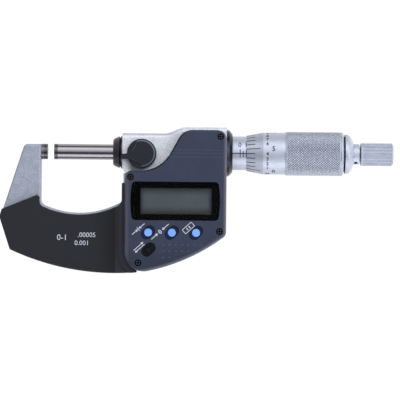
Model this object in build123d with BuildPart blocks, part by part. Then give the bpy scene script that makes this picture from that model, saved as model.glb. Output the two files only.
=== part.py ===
from build123d import *
import os
from math import cos, radians, sin, sqrt

os.makedirs("parts", exist_ok=True)

# A digital outside micrometer lying on its back, in millimetres.
# The origin is the centre of the anvil's measuring face. +X runs along the spindle to the
# ratchet, +Y away from the bow and +Z out of the display.

# Measuring range and the reading it is stored at
travel = 25.4
opening = 2.64
opening_left = travel - opening

# Clearances
press_gap = 0.01
running_gap = 0.03
slide_gap = 0.08
seat_gap = 0.2
case_gap = 0.4

# Spindle, anvil and their hard tips
spindle_r = 6.35 / 2
tip_length = 1.5
anvil_reach = 2.6
anvil_shank_r = 2.2
anvil_shank_length = 6.0

# Arm and bow of the frame
web_half = 4.5
arm_top = 3.0
arm_back_top = -9.4
elbow_x = -19.0
elbow_y = -26.7
heel_x = -14.6
bow_low_x = 27.45
bow_rise = 0.6
bow_r = 98.7
throat_right = 31.1
throat_centre_x = 13.1
throat_floor_y = -24.95
throat_r = 35.0
web_edge_r = 0.8
arm_tip_r = 2.0
arm_foot_r = 2.5
elbow_r = 2.5
heel_r = 1.2
throat_foot_r = 3.0

# Hub that carries the spindle
hub_left = 30.7
hub_right = 73.2
hub_half = 8.5
hub_bottom = -8.55
hub_low_top = 7.7
hub_high_top = 10.4
hub_step_start = 49.5
hub_step_end = 55.0
hub_edge_r = 1.8
hub_corner = 1.8
hub_step_r = 9.0
bush_bore_r = 5.0
encoder_bore_r = 7.2
encoder_start = 51.0

# Display housing, seen from the front
housing_left = 32.0
housing_shoulder_y = -7.6
housing_top = 9.15
slope_bottom_x = 46.4
slope_top_x = 55.6
housing_heel_y = -33.6
housing_bottom_x = 25.6
housing_bottom_r = 77.4
housing_bottom_y = housing_heel_y + sqrt(housing_bottom_r ** 2 - (hub_right - housing_bottom_x) ** 2)
housing_low_y = housing_bottom_y - sqrt(housing_bottom_r ** 2 - (housing_left - housing_bottom_x) ** 2)
bow_centre_y = housing_low_y + bow_rise + bow_r
shoulder_corner_r = 2.7
slope_bottom_r = 14.0
slope_top_r = 6.6
top_corner_r = 4.0
heel_corner_r = 2.8
bottom_corner_r = 7.9
web_inset = 0.6

# Display housing, from back to front
cover_face = 14.0
rear_face = -10.5
housing_wall = 1.8
cover_thickness = 2.0
gasket_thickness = 0.4
cover_bevel = 0.7
rear_bevel = 1.0
cover_inside = cover_face - cover_thickness
cover_seat = web_half + gasket_thickness
rear_seat = -web_half - gasket_thickness

# Window in the web behind the display
frame_window_left = 39.0
frame_window_right = 67.0
frame_window_top = -13.0
frame_window_wall = 5.5
frame_window_r = 2.0

# Insulating plates on the bow
plate_thickness = 1.6
plate_overhang = 0.4
plate_inset = 0.7
plate_arm_inset = 0.35
plate_left_top = -23.6
plate_right_top = -17.3
plate_tongue_left = 30.6
plate_tongue_top = -12.65
plate_end_angle = 248
plate_top_r = 1.2
plate_edge_r = 0.5
lip_width = 2.2
lip_height = 4.0

# Display window, mask and panel
window_left = 35.0
window_right = 69.9
window_top = -12.0
window_bottom = -27.7
window_bow = 0.75
window_corner_r = 1.6
pane_thickness = 1.0
pane_recess = 0.05
mask_thickness = 0.3
view_centre = (52.8, -19.85)
view_width = 28.9
view_height = 10.7
panel_border = 1.4
panel_thickness = 1.7
holder_wall = 0.9
strip_thickness = 1.2
strip_margin = 1.0

# Circuit board and buttons
board_thickness = 1.2
board_inset = 3.2
board_top = -10.0
button_row_y = -32.65
button_row_x = (41.55, 51.2, 61.0)
unit_button_at = (41.8, -39.6)
button_r = 1.6
unit_button_r = 1.25
button_travel = 0.5
button_flange = 0.6
button_lip = 0.6
button_rise = 0.1
button_edge = 0.2
button_recess = (6.4, 4.4, 0.6)
button_recess_turn = 45
dome_r = 2.0
dome_wall = 0.6
dome_roof = 1.0
membrane_thickness = 0.8
membrane_width = 5.0

# Housing screws
cover_screws = ((34.2, -10.2), (70.7, 6.5), (70.5, -32.0), (37.6, -45.0))
screw_r = 0.8
screw_head_r = 1.3
screw_head_height = 0.9
screw_recess = 0.3
screw_grip = 3.0
cross_length = 1.7
cross_width = 0.35
cross_depth = 0.5
post_r = 2.3

# Battery, its cap and the data port in the rear case
battery_centre = (52.0, -21.0)
battery_r = 5.8
battery_height = 5.4
battery_cap_r = 6.7
battery_cap_thickness = 1.2
battery_cap_depth = 0.2
battery_wall = 1.5
battery_edge_r = 0.4
coin_slot = (9.0, 1.6, 0.6)
coin_slot_turn = 30
contact_thickness = 0.25
contact_width = 3.0
contact_reach = 3.5
contact_post = 3.0
contact_foot = 7.0
seal_ring_r = 0.35
port_centre = (48.0, -36.3)
port_cap = (12.6, 6.0, 1.0)
port_socket = (7.0, 3.2, 3.8)
port_screw_pitch = 10.2
port_screw_r = 0.5
port_rim = 0.6
port_wall = 0.8
port_floor = 1.0

# Seal cap, bush and clamp
cap_front = 26.8
cap_nose_r = 5.1
cap_r = 6.7
cap_edge = 0.5
cap_floor = 0.8
cap_lip = 0.7
cap_taper = 0.15
cap_groove = 0.6
seal_ring_width = 2.0
seal_ring_outer = 4.4
bush_start = 33.2
bush_end = 50.8
clamp_x = 38.6
clamp_y = -0.6
clamp_screw_r = 2.0
clamp_stem_r = 1.5
clamp_pad_r = 1.9
clamp_pad_top = 5.3
lever_r = 6.0
lever_rim = 0.45
lever_disc = 1.2
lever_height = 3.3
lever_roof = 1.4
lever_edge_r = 0.4
lever_flanks = (((-7.93, 5.38), 5.77), ((-5.8, -9.15), 6.88))
pointer = ((-4.0, 1.1), (-6.4, -0.15), (-8.5, -0.2), (-8.5, -2.3), (-6.0, -2.3), (-4.0, -2.6))
pointer_tip_r = 0.7

# Encoder
stator_width = 1.6
rotor_start = 53.1
rotor_disc_width = 1.0
rotor_r = 6.9
rotor_boss_r = 4.6
key_setback = 3.0
key_r = 0.8
keyway_depth = 1.0
retainer_width = 2.0
flange_width = 6.6
flange_recess = 2.4
flange_end = hub_right - flange_recess
retainer_end = flange_end - flange_width
retainer_start = retainer_end - retainer_width
rotor_end = retainer_start - seat_gap
key_x = rotor_end - key_setback

# Sleeves, nut and thimble
sleeve_r = 6.9
sleeve_bore_r = 5.65
sleeve_end = 105.0
zero_line_x = 78.7
thread_r = 3.6
nut_start = 97.0
inner_sleeve_end = 109.0
inner_sleeve_bore_r = 3.9
adjuster_r = 6.6
adjuster_width = 3.0
adjuster_gap = 0.3
adjuster_notch = 1.2
slot_width = 0.8
slot_lead = 1.0
nut_step = 0.55
nut_lead = 0.3
sleeve_chamfer = 0.3
collar_r = 9.8
collar_end_r = 7.9
collar_width = 2.4
collar_edge = 0.5
thimble_edge_r = 7.2
thimble_cone_length = 6.7
thimble_r = 8.55
knurl_r = 9.0
knurl_start = 97.3
thimble_end = 121.0
thimble_wall = 8.0
thimble_end_bevel = 0.6
knurl_edge = 0.2
thread_start = 73.5
thread_end = 113.0
taper_r = 4.2
taper_end_r = 3.4
taper_length = 5.5
stud_r = 2.6
stud_end = 123.5
thread_lead = 0.4
spindle_shoulder = 1.0
ratchet_screw_reach = 5.0

# End cap and ratchet
groove_r = 7.2
ring_r = 8.05
ring_start = 121.6
ring_end = 122.8
shoulder_end = 125.1
shoulder_r = 4.5
shoulder_bulge = 0.38
neck_r = 4.2
neck_end = 127.55
neck_bore_r = 3.0
neck_floor = 0.8
spanner_hole_r = 0.6
spanner_hole_turn = 58
spanner_hole_x = 126.1
knob_start = 128.05
knob_end = 141.4
knob_r = 4.65
knob_dome = 0.8
knob_bore_r = 3.5
knob_web = 134.2
knob_head_bore_r = 2.5
knob_head_seat = 139.4
flute_count = 20
flute_r = 0.5
flute_start = 129.2
ratchet_teeth = 12
tooth_height = 0.4
tooth_half = 0.35
tooth_root = 0.1
teeth_inner_r = 2.0
click_start = 127.0
ratchet_screw_r = 1.25
ratchet_head_r = 2.2
ratchet_head = 1.2
ratchet_slot = (0.6, 0.5)
spring_thickness = 0.35
click_step = 2.5
knob_chamfer = 0.3


def bow_bottom(x, grow=0.0):
    """Height of the bow's lower edge at x."""
    return bow_centre_y - sqrt((bow_r + grow) ** 2 - (x - bow_low_x) ** 2)


def throat_floor(x, grow=0.0):
    """Height of the throat's floor at x."""
    centre_y = throat_floor_y + throat_r
    return centre_y - sqrt((throat_r + grow) ** 2 - (x - throat_centre_x) ** 2)


def housing_bottom(x):
    """Height of the housing's lower edge at x."""
    return housing_bottom_y - sqrt(housing_bottom_r ** 2 - (x - housing_bottom_x) ** 2)


def arm_back(y):
    """Place of the arm's sloping back edge at height y."""
    return arm_back_top + (elbow_x - arm_back_top) * (arm_top - y) / (arm_top - elbow_y)


def rounded(sketch, corners):
    """Rounds the corners of the sketch being built, each given as a point and a radius."""
    for point, radius in corners:
        fillet(sketch.vertices().sort_by_distance(point)[0], radius)


def bow_profile(height):
    """Front outline of the arm and bow, as far as the middle of the display housing."""
    join_x = slope_bottom_x
    heel = (heel_x, bow_bottom(heel_x))
    elbow = (elbow_x, elbow_y)
    middle_x = (heel_x + join_x) / 2
    back_top = (arm_back_top, arm_top)
    arm_foot = (-anvil_reach, throat_floor(-anvil_reach))
    throat_foot = (throat_right, throat_floor(throat_right))
    with BuildSketch(Plane.XY.offset(height)) as profile:
        with BuildLine():
            Polyline((-anvil_reach, arm_top), back_top, elbow, heel)
            ThreePointArc(
                heel, (middle_x, bow_bottom(middle_x)), (join_x, bow_bottom(join_x))
            )
            Polyline(
                (join_x, bow_bottom(join_x)),
                (join_x, hub_bottom),
                (throat_right, hub_bottom),
                throat_foot,
            )
            ThreePointArc(throat_foot, (throat_centre_x, throat_floor_y), arm_foot)
            Line(arm_foot, (-anvil_reach, arm_top))
        make_face()
        rounded(
            profile,
            (
                (back_top, arm_tip_r),
                (elbow, elbow_r),
                (heel, heel_r),
                (arm_foot, arm_foot_r),
                (throat_foot, throat_foot_r),
            ),
        )
    return profile.sketch


def housing_profile(height, inset=0.0):
    """Front outline of the display housing, drawn in by inset."""
    shoulder = (housing_left, housing_shoulder_y)
    slope_bottom = (slope_bottom_x, housing_shoulder_y)
    slope_top = (slope_top_x, housing_top)
    top = (hub_right, housing_top)
    heel = (hub_right, housing_heel_y)
    bottom = (housing_left, housing_bottom(housing_left))
    middle_x = (housing_left + hub_right) / 2
    with BuildSketch(Plane.XY.offset(height)) as profile:
        with BuildLine():
            Polyline(bottom, shoulder, slope_bottom, slope_top, top, heel)
            ThreePointArc(heel, (middle_x, housing_bottom(middle_x)), bottom)
        make_face()
        rounded(
            profile,
            (
                (shoulder, shoulder_corner_r),
                (slope_bottom, slope_bottom_r),
                (slope_top, slope_top_r),
                (top, top_corner_r),
                (heel, heel_corner_r),
                (bottom, bottom_corner_r),
            ),
        )
        if inset:
            offset(amount=-inset)
    return profile.sketch


def plate_profile(height):
    """Front outline of an insulating plate, which follows the bow and the housing's corner."""
    corner_x = housing_left + bottom_corner_r
    corner_y = housing_bottom_y - sqrt(
        (housing_bottom_r - bottom_corner_r) ** 2 - (corner_x - housing_bottom_x) ** 2
    )
    round_r = bottom_corner_r + case_gap
    plate_right = housing_left - case_gap
    turn = radians(plate_end_angle)
    half_turn = (radians(180) + turn) / 2
    end = (corner_x + round_r * cos(turn), corner_y + round_r * sin(turn))
    end_low = (end[0], bow_bottom(end[0], plate_overhang))
    heel = (heel_x - plate_overhang, bow_bottom(heel_x, plate_overhang))
    elbow = (elbow_x - plate_overhang, elbow_y)
    left_top = (arm_back(plate_left_top) - plate_overhang, plate_left_top)
    inner_x = -anvil_reach - plate_arm_inset
    right_top = (inner_x, plate_right_top)
    foot = (inner_x, throat_floor(inner_x, plate_inset))
    tongue_foot = (plate_tongue_left, throat_floor(plate_tongue_left, plate_inset))
    middle_x = (heel[0] + end[0]) / 2
    floor_middle = (throat_centre_x, throat_floor(throat_centre_x, plate_inset))
    with BuildSketch(Plane.XY.offset(height)) as profile:
        with BuildLine():
            Polyline(heel, elbow, left_top, right_top, foot)
            ThreePointArc(foot, floor_middle, tongue_foot)
            Polyline(
                tongue_foot,
                (plate_tongue_left, plate_tongue_top),
                (plate_right, plate_tongue_top),
                (plate_right, corner_y),
            )
            ThreePointArc(
                (plate_right, corner_y),
                (corner_x + round_r * cos(half_turn), corner_y + round_r * sin(half_turn)),
                end,
            )
            Line(end, end_low)
            ThreePointArc(end_low, (middle_x, bow_bottom(middle_x, plate_overhang)), heel)
        make_face()
        rounded(
            profile,
            (
                (heel, heel_r),
                (elbow, elbow_r),
                (right_top, plate_top_r),
                (foot, arm_foot_r),
                (tongue_foot, throat_foot_r),
            ),
        )
    return profile.sketch


def window_profile(height, inset=0.0):
    """Outline of the display window, whose short sides bow outwards."""
    middle_y = (window_top + window_bottom) / 2
    corners = (
        (window_left, window_top),
        (window_right, window_top),
        (window_right, window_bottom),
        (window_left, window_bottom),
    )
    with BuildSketch(Plane.XY.offset(height)) as profile:
        with BuildLine():
            Line(corners[0], corners[1])
            ThreePointArc(corners[1], (window_right + window_bow, middle_y), corners[2])
            Line(corners[2], corners[3])
            ThreePointArc(corners[3], (window_left - window_bow, middle_y), corners[0])
        make_face()
        rounded(profile, [(corner, window_corner_r) for corner in corners])
        if inset:
            offset(amount=-inset)
    return profile.sketch


def turned(points):
    """Profile of a part turned about the spindle axis, as (x, radius) points."""
    with BuildSketch(Plane.XY) as profile:
        with BuildLine():
            Polyline(*points, close=True)
        make_face()
    return profile.sketch


def ring(start, end, outer, inner):
    """Profile of a plain ring about the spindle axis."""
    return turned(((start, inner), (start, outer), (end, outer), (end, inner)))


def screw(at, seat, tip, up):
    """Cross-recessed screw whose head stands on seat and whose shank runs to tip."""
    with BuildPart() as one:
        with BuildSketch(Plane.XY.offset(seat)):
            with Locations(at):
                Circle(screw_head_r)
        extrude(amount=up * screw_head_height)
        with BuildSketch(Plane.XY.offset(seat + up * screw_head_height)):
            with Locations(at):
                Rectangle(cross_length, cross_width)
                Rectangle(cross_width, cross_length)
        extrude(amount=-up * cross_depth, mode=Mode.SUBTRACT)
        with BuildSketch(Plane.XY.offset(tip)):
            with Locations(at):
                Circle(screw_r)
        extrude(amount=seat - tip)
    return one.part


def hub_face(at):
    """True for a screw that goes into the hub and not into the thinner web."""
    return at[1] > hub_bottom


# Frame: web with arm and bow, hub with its stepped bore, window behind the display
with BuildPart() as frame:
    extrude(bow_profile(-web_half), amount=2 * web_half)
    fillet(frame.faces().filter_by(Axis.Z).edges(), web_edge_r)
    extrude(housing_profile(-web_half, web_inset), amount=2 * web_half)
    with BuildSketch(Plane.XY.offset(-hub_half)) as hub:
        with BuildLine():
            Polyline(
                (hub_left, hub_low_top),
                (hub_step_start, hub_low_top),
                (hub_step_end, hub_high_top),
                (hub_right, hub_high_top),
                (hub_right, hub_bottom),
                (housing_left, hub_bottom),
                (hub_left, hub_bottom + hub_corner),
                close=True,
            )
        make_face()
        rounded(
            hub,
            (
                ((hub_step_start, hub_low_top), hub_step_r),
                ((hub_step_end, hub_high_top), hub_step_r),
            ),
        )
    extrude(amount=2 * hub_half)
    hub_top_edges = (
        frame.edges()
        .filter_by_position(Axis.Y, hub_low_top - slide_gap, hub_high_top)
        .group_by(Axis.Z)
    )
    fillet(hub_top_edges[0] + hub_top_edges[-1], hub_edge_r)
    # Window behind the display
    with BuildSketch(Plane.XY.offset(-web_half)) as frame_window:
        with BuildLine():
            low_left = (frame_window_left, housing_bottom(frame_window_left) + frame_window_wall)
            low_right = (
                frame_window_right,
                housing_bottom(frame_window_right) + frame_window_wall,
            )
            Polyline(
                (frame_window_left, frame_window_top),
                (frame_window_right, frame_window_top),
                low_right,
                low_left,
                close=True,
            )
        make_face()
        fillet(frame_window.vertices(), frame_window_r)
    extrude(amount=2 * web_half, mode=Mode.SUBTRACT)
    # Bores for seal cap and bush, encoder and sleeve, and the anvil's shank
    with BuildSketch(Plane.YZ.offset(hub_left)):
        Circle(bush_bore_r)
    extrude(amount=encoder_start - hub_left, mode=Mode.SUBTRACT)
    with BuildSketch(Plane.YZ.offset(encoder_start)):
        Circle(encoder_bore_r)
    extrude(amount=hub_right - encoder_start, mode=Mode.SUBTRACT)
    with BuildSketch(Plane.YZ.offset(-anvil_reach)):
        Circle(anvil_shank_r + press_gap)
    extrude(amount=-anvil_shank_length, mode=Mode.SUBTRACT)
    # Clamp screw hole through the front of the hub
    with BuildSketch(Plane.XY.offset(hub_half)):
        with Locations((clamp_x, clamp_y)):
            Circle(clamp_screw_r + running_gap)
    extrude(amount=-hub_half, mode=Mode.SUBTRACT)
    # Tapped holes for the housing screws, front and back
    for hole_at in cover_screws:
        hole_face = hub_half if hub_face(hole_at) else web_half
        for side in (1, -1):
            with BuildSketch(Plane.XY.offset(side * hole_face)):
                with Locations(hole_at):
                    Circle(screw_r + press_gap)
            extrude(amount=-side * (screw_grip + case_gap), mode=Mode.SUBTRACT)

# Anvil: visible pin with a stepped shank pressed into the arm
with BuildPart() as anvil:
    with BuildSketch(Plane.YZ.offset(-anvil_reach)):
        Circle(spindle_r)
    extrude(amount=anvil_reach - tip_length)
    with BuildSketch(Plane.YZ.offset(-anvil_reach)):
        Circle(anvil_shank_r)
    extrude(amount=-anvil_shank_length + seat_gap)

with BuildPart() as anvil_tip:
    with BuildSketch(Plane.YZ.offset(-tip_length)):
        Circle(spindle_r)
    extrude(amount=tip_length)


def insulating_plate(side):
    """Plate on the front (side 1) or the back (side -1) of the bow, with its raised lip."""
    with BuildPart() as plate:
        extrude(plate_profile(side * web_half), amount=side * plate_thickness)
        face = plate.faces().filter_by(Axis.Z).sort_by(Axis.Z)[-1 if side > 0 else 0]
        bow_edges = face.edges().filter_by_position(Axis.X, elbow_x, housing_left - lip_width)
        fillet(bow_edges, plate_edge_r)
        with BuildPart(mode=Mode.PRIVATE) as lip:
            extrude(plate_profile(side * web_half), amount=side * lip_height)
            extrude(
                housing_profile(side * web_half, -case_gap - lip_width),
                amount=side * lip_height,
                mode=Mode.INTERSECT,
            )
        add(lip.part)
    return plate.part


with BuildPart() as front_plate:
    add(insulating_plate(1))

with BuildPart() as rear_plate:
    add(insulating_plate(-1))

# Seal cap with its rubber ring, and the guide bush behind it
with BuildPart() as seal_cap:
    revolve(
        turned(
            (
                (cap_front, spindle_r + seat_gap),
                (cap_front, cap_nose_r),
                (cap_front + cap_edge, cap_nose_r + cap_edge),
                (hub_left - cap_lip - cap_groove, cap_r - cap_taper),
                (hub_left - cap_lip - cap_groove, cap_r - cap_groove),
                (hub_left - cap_lip, cap_r - cap_groove),
                (hub_left - cap_lip, cap_r),
                (hub_left, cap_r),
                (hub_left, bush_bore_r - press_gap),
                (bush_start - seat_gap, bush_bore_r - press_gap),
                (bush_start - seat_gap, seal_ring_outer + press_gap),
                (cap_front + cap_floor, seal_ring_outer + press_gap),
                (cap_front + cap_floor, spindle_r + seat_gap),
            )
        ),
        axis=Axis.X,
    )

with BuildPart() as spindle_seal:
    revolve(
        ring(
            cap_front + cap_floor,
            cap_front + cap_floor + seal_ring_width,
            seal_ring_outer,
            spindle_r + running_gap,
        ),
        axis=Axis.X,
    )

with BuildPart() as spindle_bush:
    revolve(
        ring(bush_start, bush_end, bush_bore_r - press_gap, spindle_r + running_gap),
        axis=Axis.X,
    )
    with BuildSketch(Plane.XY):
        with Locations((clamp_x, clamp_y)):
            Circle(clamp_pad_r + press_gap)
    extrude(amount=bush_bore_r, mode=Mode.SUBTRACT)

# Clamp: a pad on the spindle, the screw that presses it and the lever on the screw
with BuildPart() as clamp_pad:
    with BuildSketch(Plane.XY.offset(spindle_r + slide_gap)):
        with Locations((clamp_x, clamp_y)):
            Circle(clamp_pad_r)
    extrude(amount=clamp_pad_top - spindle_r - slide_gap)

lever_foot = hub_half + seat_gap
stem_top = lever_foot + lever_height - lever_roof
with BuildPart() as clamp_shaft:
    with BuildSketch(Plane.XY.offset(clamp_pad_top + running_gap)):
        with Locations((clamp_x, clamp_y)):
            Circle(clamp_screw_r)
    extrude(amount=lever_foot - clamp_pad_top - running_gap)
    with BuildSketch(Plane.XY.offset(lever_foot)):
        with Locations((clamp_x, clamp_y)):
            Circle(clamp_stem_r)
    extrude(amount=stem_top - lever_foot)

with BuildPart() as clamp_lever:
    with BuildSketch(Plane.XY.offset(lever_foot)):
        with Locations((clamp_x, clamp_y)):
            Circle(lever_r)
    extrude(amount=lever_disc)
    # Raised fan with hollow flanks that run into the pointer
    with BuildSketch(Plane.XY.offset(lever_foot)) as fan:
        with Locations((clamp_x, clamp_y)):
            Circle(lever_r - lever_rim)
        for flank_at, flank_r in lever_flanks:
            with Locations((clamp_x + flank_at[0], clamp_y + flank_at[1])):
                Circle(flank_r, mode=Mode.SUBTRACT)
        with BuildLine():
            Polyline(*[(clamp_x + x, clamp_y + y) for x, y in pointer], close=True)
        make_face()
        fillet(fan.vertices().sort_by(Axis.X)[:2], pointer_tip_r)
    extrude(amount=lever_height)
    lever_face = clamp_lever.faces().sort_by(Axis.Z)[-1]
    lever_arcs = lever_face.edges().filter_by(GeomType.CIRCLE).sort_by(SortBy.LENGTH)[-3:]
    fillet(lever_arcs, lever_edge_r)
    with BuildSketch(Plane.XY.offset(lever_foot)):
        with Locations((clamp_x, clamp_y)):
            Circle(clamp_stem_r + press_gap)
    extrude(amount=stem_top - lever_foot + press_gap, mode=Mode.SUBTRACT)

# Encoder: stator and retainer fixed in the hub, rotor turning between them
with BuildPart() as encoder_stator:
    revolve(
        ring(
            encoder_start,
            encoder_start + stator_width,
            encoder_bore_r - press_gap,
            rotor_boss_r,
        ),
        axis=Axis.X,
    )

with BuildPart() as rotor_retainer:
    revolve(
        ring(
            retainer_start,
            retainer_end,
            encoder_bore_r - press_gap,
            spindle_r + seat_gap,
        ),
        axis=Axis.X,
    )

key_tip = spindle_r - keyway_depth + slide_gap
with BuildPart() as encoder_rotor:
    revolve(
        turned(
            (
                (rotor_start, spindle_r + running_gap),
                (rotor_start, rotor_r),
                (rotor_start + rotor_disc_width, rotor_r),
                (rotor_start + rotor_disc_width, rotor_boss_r),
                (rotor_end, rotor_boss_r),
                (rotor_end, spindle_r + running_gap),
            )
        ),
        axis=Axis.X,
    )
    with BuildSketch(Plane.XY):
        with Locations((key_x, 0)):
            Circle(key_r + press_gap)
    extrude(amount=-rotor_boss_r, mode=Mode.SUBTRACT)

with BuildPart() as rotor_key:
    with BuildSketch(Plane.XY.offset(-key_tip)):
        with Locations((key_x, 0)):
            Circle(key_r)
    extrude(amount=key_tip - rotor_boss_r)

# Spindle: measuring shank with keyway, thread, taper for the thimble and stud for the end cap
spindle_front = opening + tip_length
taper_start = thread_end + spindle_shoulder
ratchet_screw_end = stud_end - ratchet_screw_reach
with BuildPart() as spindle:
    revolve(
        turned(
            (
                (spindle_front, 0),
                (spindle_front, spindle_r),
                (thread_start, spindle_r),
                (thread_start + thread_lead, thread_r),
                (thread_end, thread_r),
                (thread_end, taper_r),
                (taper_start, taper_r),
                (taper_start + taper_length, taper_end_r),
                (taper_start + taper_length, stud_r),
                (stud_end, stud_r),
                (stud_end, 0),
            )
        ),
        axis=Axis.X,
    )
    keyway_left = key_x - opening_left - 2 * key_r
    keyway_right = key_x + opening + 2 * key_r
    with Locations(((keyway_left + keyway_right) / 2, 0, keyway_depth - spindle_r)):
        Box(
            keyway_right - keyway_left,
            2 * (key_r + slide_gap),
            2 * keyway_depth,
            align=(Align.CENTER, Align.CENTER, Align.MAX),
            mode=Mode.SUBTRACT,
        )
    with BuildSketch(Plane.YZ.offset(ratchet_screw_end)):
        Circle(ratchet_screw_r + press_gap)
    extrude(amount=stud_end - ratchet_screw_end, mode=Mode.SUBTRACT)

with BuildPart() as spindle_tip:
    with BuildSketch(Plane.YZ.offset(opening)):
        Circle(spindle_r)
    extrude(amount=tip_length)

# Inner sleeve: flange in the hub, long bore, nut thread and a slotted end for adjustment
slot_root = nut_start - slot_lead
adjuster_start = sleeve_end + adjuster_gap
adjuster_end = adjuster_start + adjuster_width
nut_r = sleeve_bore_r - nut_step
with BuildPart() as inner_sleeve:
    revolve(
        turned(
            (
                (retainer_end, inner_sleeve_bore_r),
                (retainer_end, encoder_bore_r - press_gap),
                (flange_end, encoder_bore_r - press_gap),
                (flange_end, sleeve_bore_r - press_gap),
                (sleeve_end - slot_lead, sleeve_bore_r - press_gap),
                (sleeve_end - slot_lead, nut_r),
                (inner_sleeve_end, nut_r),
                (inner_sleeve_end, thread_r + running_gap),
                (nut_start, thread_r + running_gap),
                (nut_start - nut_lead, inner_sleeve_bore_r),
            )
        ),
        axis=Axis.X,
    )
    slot_length = inner_sleeve_end + slot_lead - slot_root
    for slot_angle in (90, 210, 330):
        slot_plane = Plane(
            origin=(slot_root + slot_length / 2, 0, 0),
            x_dir=(1, 0, 0),
            z_dir=(0, cos(radians(slot_angle)), sin(radians(slot_angle))),
        )
        with BuildSketch(slot_plane):
            Rectangle(slot_length, slot_width)
        extrude(amount=sleeve_r, mode=Mode.SUBTRACT)

with BuildPart() as adjusting_nut:
    revolve(ring(adjuster_start, adjuster_end, adjuster_r, nut_r + press_gap), axis=Axis.X)
    with BuildSketch(Plane.YZ.offset(adjuster_end)):
        with PolarLocations(adjuster_r, 6):
            Rectangle(adjuster_notch, adjuster_notch)
    extrude(amount=-adjuster_notch, mode=Mode.SUBTRACT)

with BuildPart() as scale_sleeve:
    revolve(
        ring(flange_end + seat_gap, sleeve_end, sleeve_r, sleeve_bore_r), axis=Axis.X
    )
    sleeve_rim = scale_sleeve.edges().filter_by(GeomType.CIRCLE).sort_by(Axis.X)[-1]
    chamfer(sleeve_rim, sleeve_chamfer)

with BuildPart() as sleeve_collar:
    revolve(
        turned(
            (
                (hub_right, sleeve_r + press_gap),
                (hub_right, collar_r),
                (hub_right + collar_width / 2, collar_r - collar_edge),
                (hub_right + collar_width, collar_end_r),
                (hub_right + collar_width, sleeve_r + press_gap),
            )
        ),
        axis=Axis.X,
    )

# Thimble: bevelled scale, knurled barrel and a tapered seat on the spindle
thimble_edge = zero_line_x + opening
thimble_bore_r = sleeve_r + slide_gap
thimble_seat = thimble_end - thimble_wall
with BuildPart() as thimble:
    revolve(
        turned(
            (
                (thimble_edge, thimble_bore_r),
                (thimble_edge, thimble_edge_r),
                (thimble_edge + thimble_cone_length, thimble_r),
                (knurl_start, thimble_r),
                (knurl_start, knurl_r - knurl_edge),
                (knurl_start + knurl_edge, knurl_r),
                (thimble_end - thimble_end_bevel, knurl_r),
                (thimble_end, knurl_r - thimble_end_bevel),
                (thimble_end, taper_end_r + press_gap),
                (taper_start + taper_length, taper_end_r + press_gap),
                (taper_start, taper_r + press_gap),
                (thimble_seat, taper_r + press_gap),
                (thimble_seat, thimble_bore_r),
            )
        ),
        axis=Axis.X,
    )

# End cap: grooved ring, domed shoulder and the neck that holds the ratchet
spring_seat = stud_end + neck_floor
with BuildPart() as thimble_end_cap:
    with BuildSketch(Plane.XY):
        with BuildLine():
            Polyline(
                (ring_end, ring_r),
                (ring_start, ring_r),
                (ring_start, groove_r),
                (thimble_end, groove_r),
                (thimble_end, stud_r + press_gap),
                (stud_end + seat_gap, stud_r + press_gap),
                (stud_end + seat_gap, ratchet_screw_r + slide_gap),
                (spring_seat, ratchet_screw_r + slide_gap),
                (spring_seat, neck_bore_r),
                (neck_end, neck_bore_r),
                (neck_end, neck_r),
                (shoulder_end, neck_r),
                (shoulder_end, shoulder_r),
            )
            ThreePointArc(
                (shoulder_end, shoulder_r),
                (
                    (ring_end + shoulder_end) / 2 + shoulder_bulge,
                    (ring_r + shoulder_r) / 2 + shoulder_bulge,
                ),
                (ring_end, ring_r),
            )
        make_face()
    revolve(axis=Axis.X)
    # Hole for the pin spanner
    with BuildSketch(Plane.XY.rotated((spanner_hole_turn, 0, 0))):
        with Locations((spanner_hole_x, 0)):
            Circle(spanner_hole_r)
    extrude(amount=knob_r, mode=Mode.SUBTRACT)

# Ratchet: toothed click ring pushed by disc springs against the knob's teeth, and its screw


def ratchet_ring(start, height, outer):
    """Ring of radial teeth that rise from start by height along the axis."""
    root = tooth_root if height > 0 else -tooth_root
    with BuildPart() as teeth:
        for index in range(ratchet_teeth):
            tooth_turn = 360 / ratchet_teeth * index
            tooth_plane = Plane(origin=(0, 0, 0), x_dir=(1, 0, 0), z_dir=(0, 1, 0))
            tooth_plane = tooth_plane.rotated((tooth_turn, 0, 0)).offset(teeth_inner_r)
            with BuildSketch(tooth_plane):
                with BuildLine():
                    Polyline(
                        (start - root, -tooth_half),
                        (start - root, tooth_half),
                        (start, tooth_half),
                        (start + height, tooth_half),
                        (start, -tooth_half),
                        close=True,
                    )
                make_face()
            extrude(amount=outer - teeth_inner_r)
    return teeth.part


click_end = knob_web - 2 * tooth_height - slide_gap
with BuildPart() as ratchet_click:
    revolve(
        turned(
            (
                (click_start, ratchet_screw_r + slide_gap),
                (click_start, neck_bore_r - slide_gap),
                (knob_start + click_step, neck_bore_r - slide_gap),
                (knob_start + click_step, knob_bore_r - slide_gap),
                (click_end, knob_bore_r - slide_gap),
                (click_end, ratchet_screw_r + slide_gap),
            )
        ),
        axis=Axis.X,
    )
    add(ratchet_ring(click_end, tooth_height, knob_bore_r - 2 * slide_gap))

with BuildPart() as ratchet_springs:
    spring_pitch = (click_start - spring_seat - spring_thickness) / 2
    for index in range(2):
        low = spring_seat + index * spring_pitch
        base = (low, low + spring_pitch)
        rise = base if index % 2 == 0 else base[::-1]
        revolve(
            turned(
                (
                    (rise[0], ratchet_screw_r + seat_gap),
                    (rise[0] + spring_thickness, ratchet_screw_r + seat_gap),
                    (rise[1] + spring_thickness, neck_bore_r - seat_gap),
                    (rise[1], neck_bore_r - seat_gap),
                )
            ),
            axis=Axis.X,
        )

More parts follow.
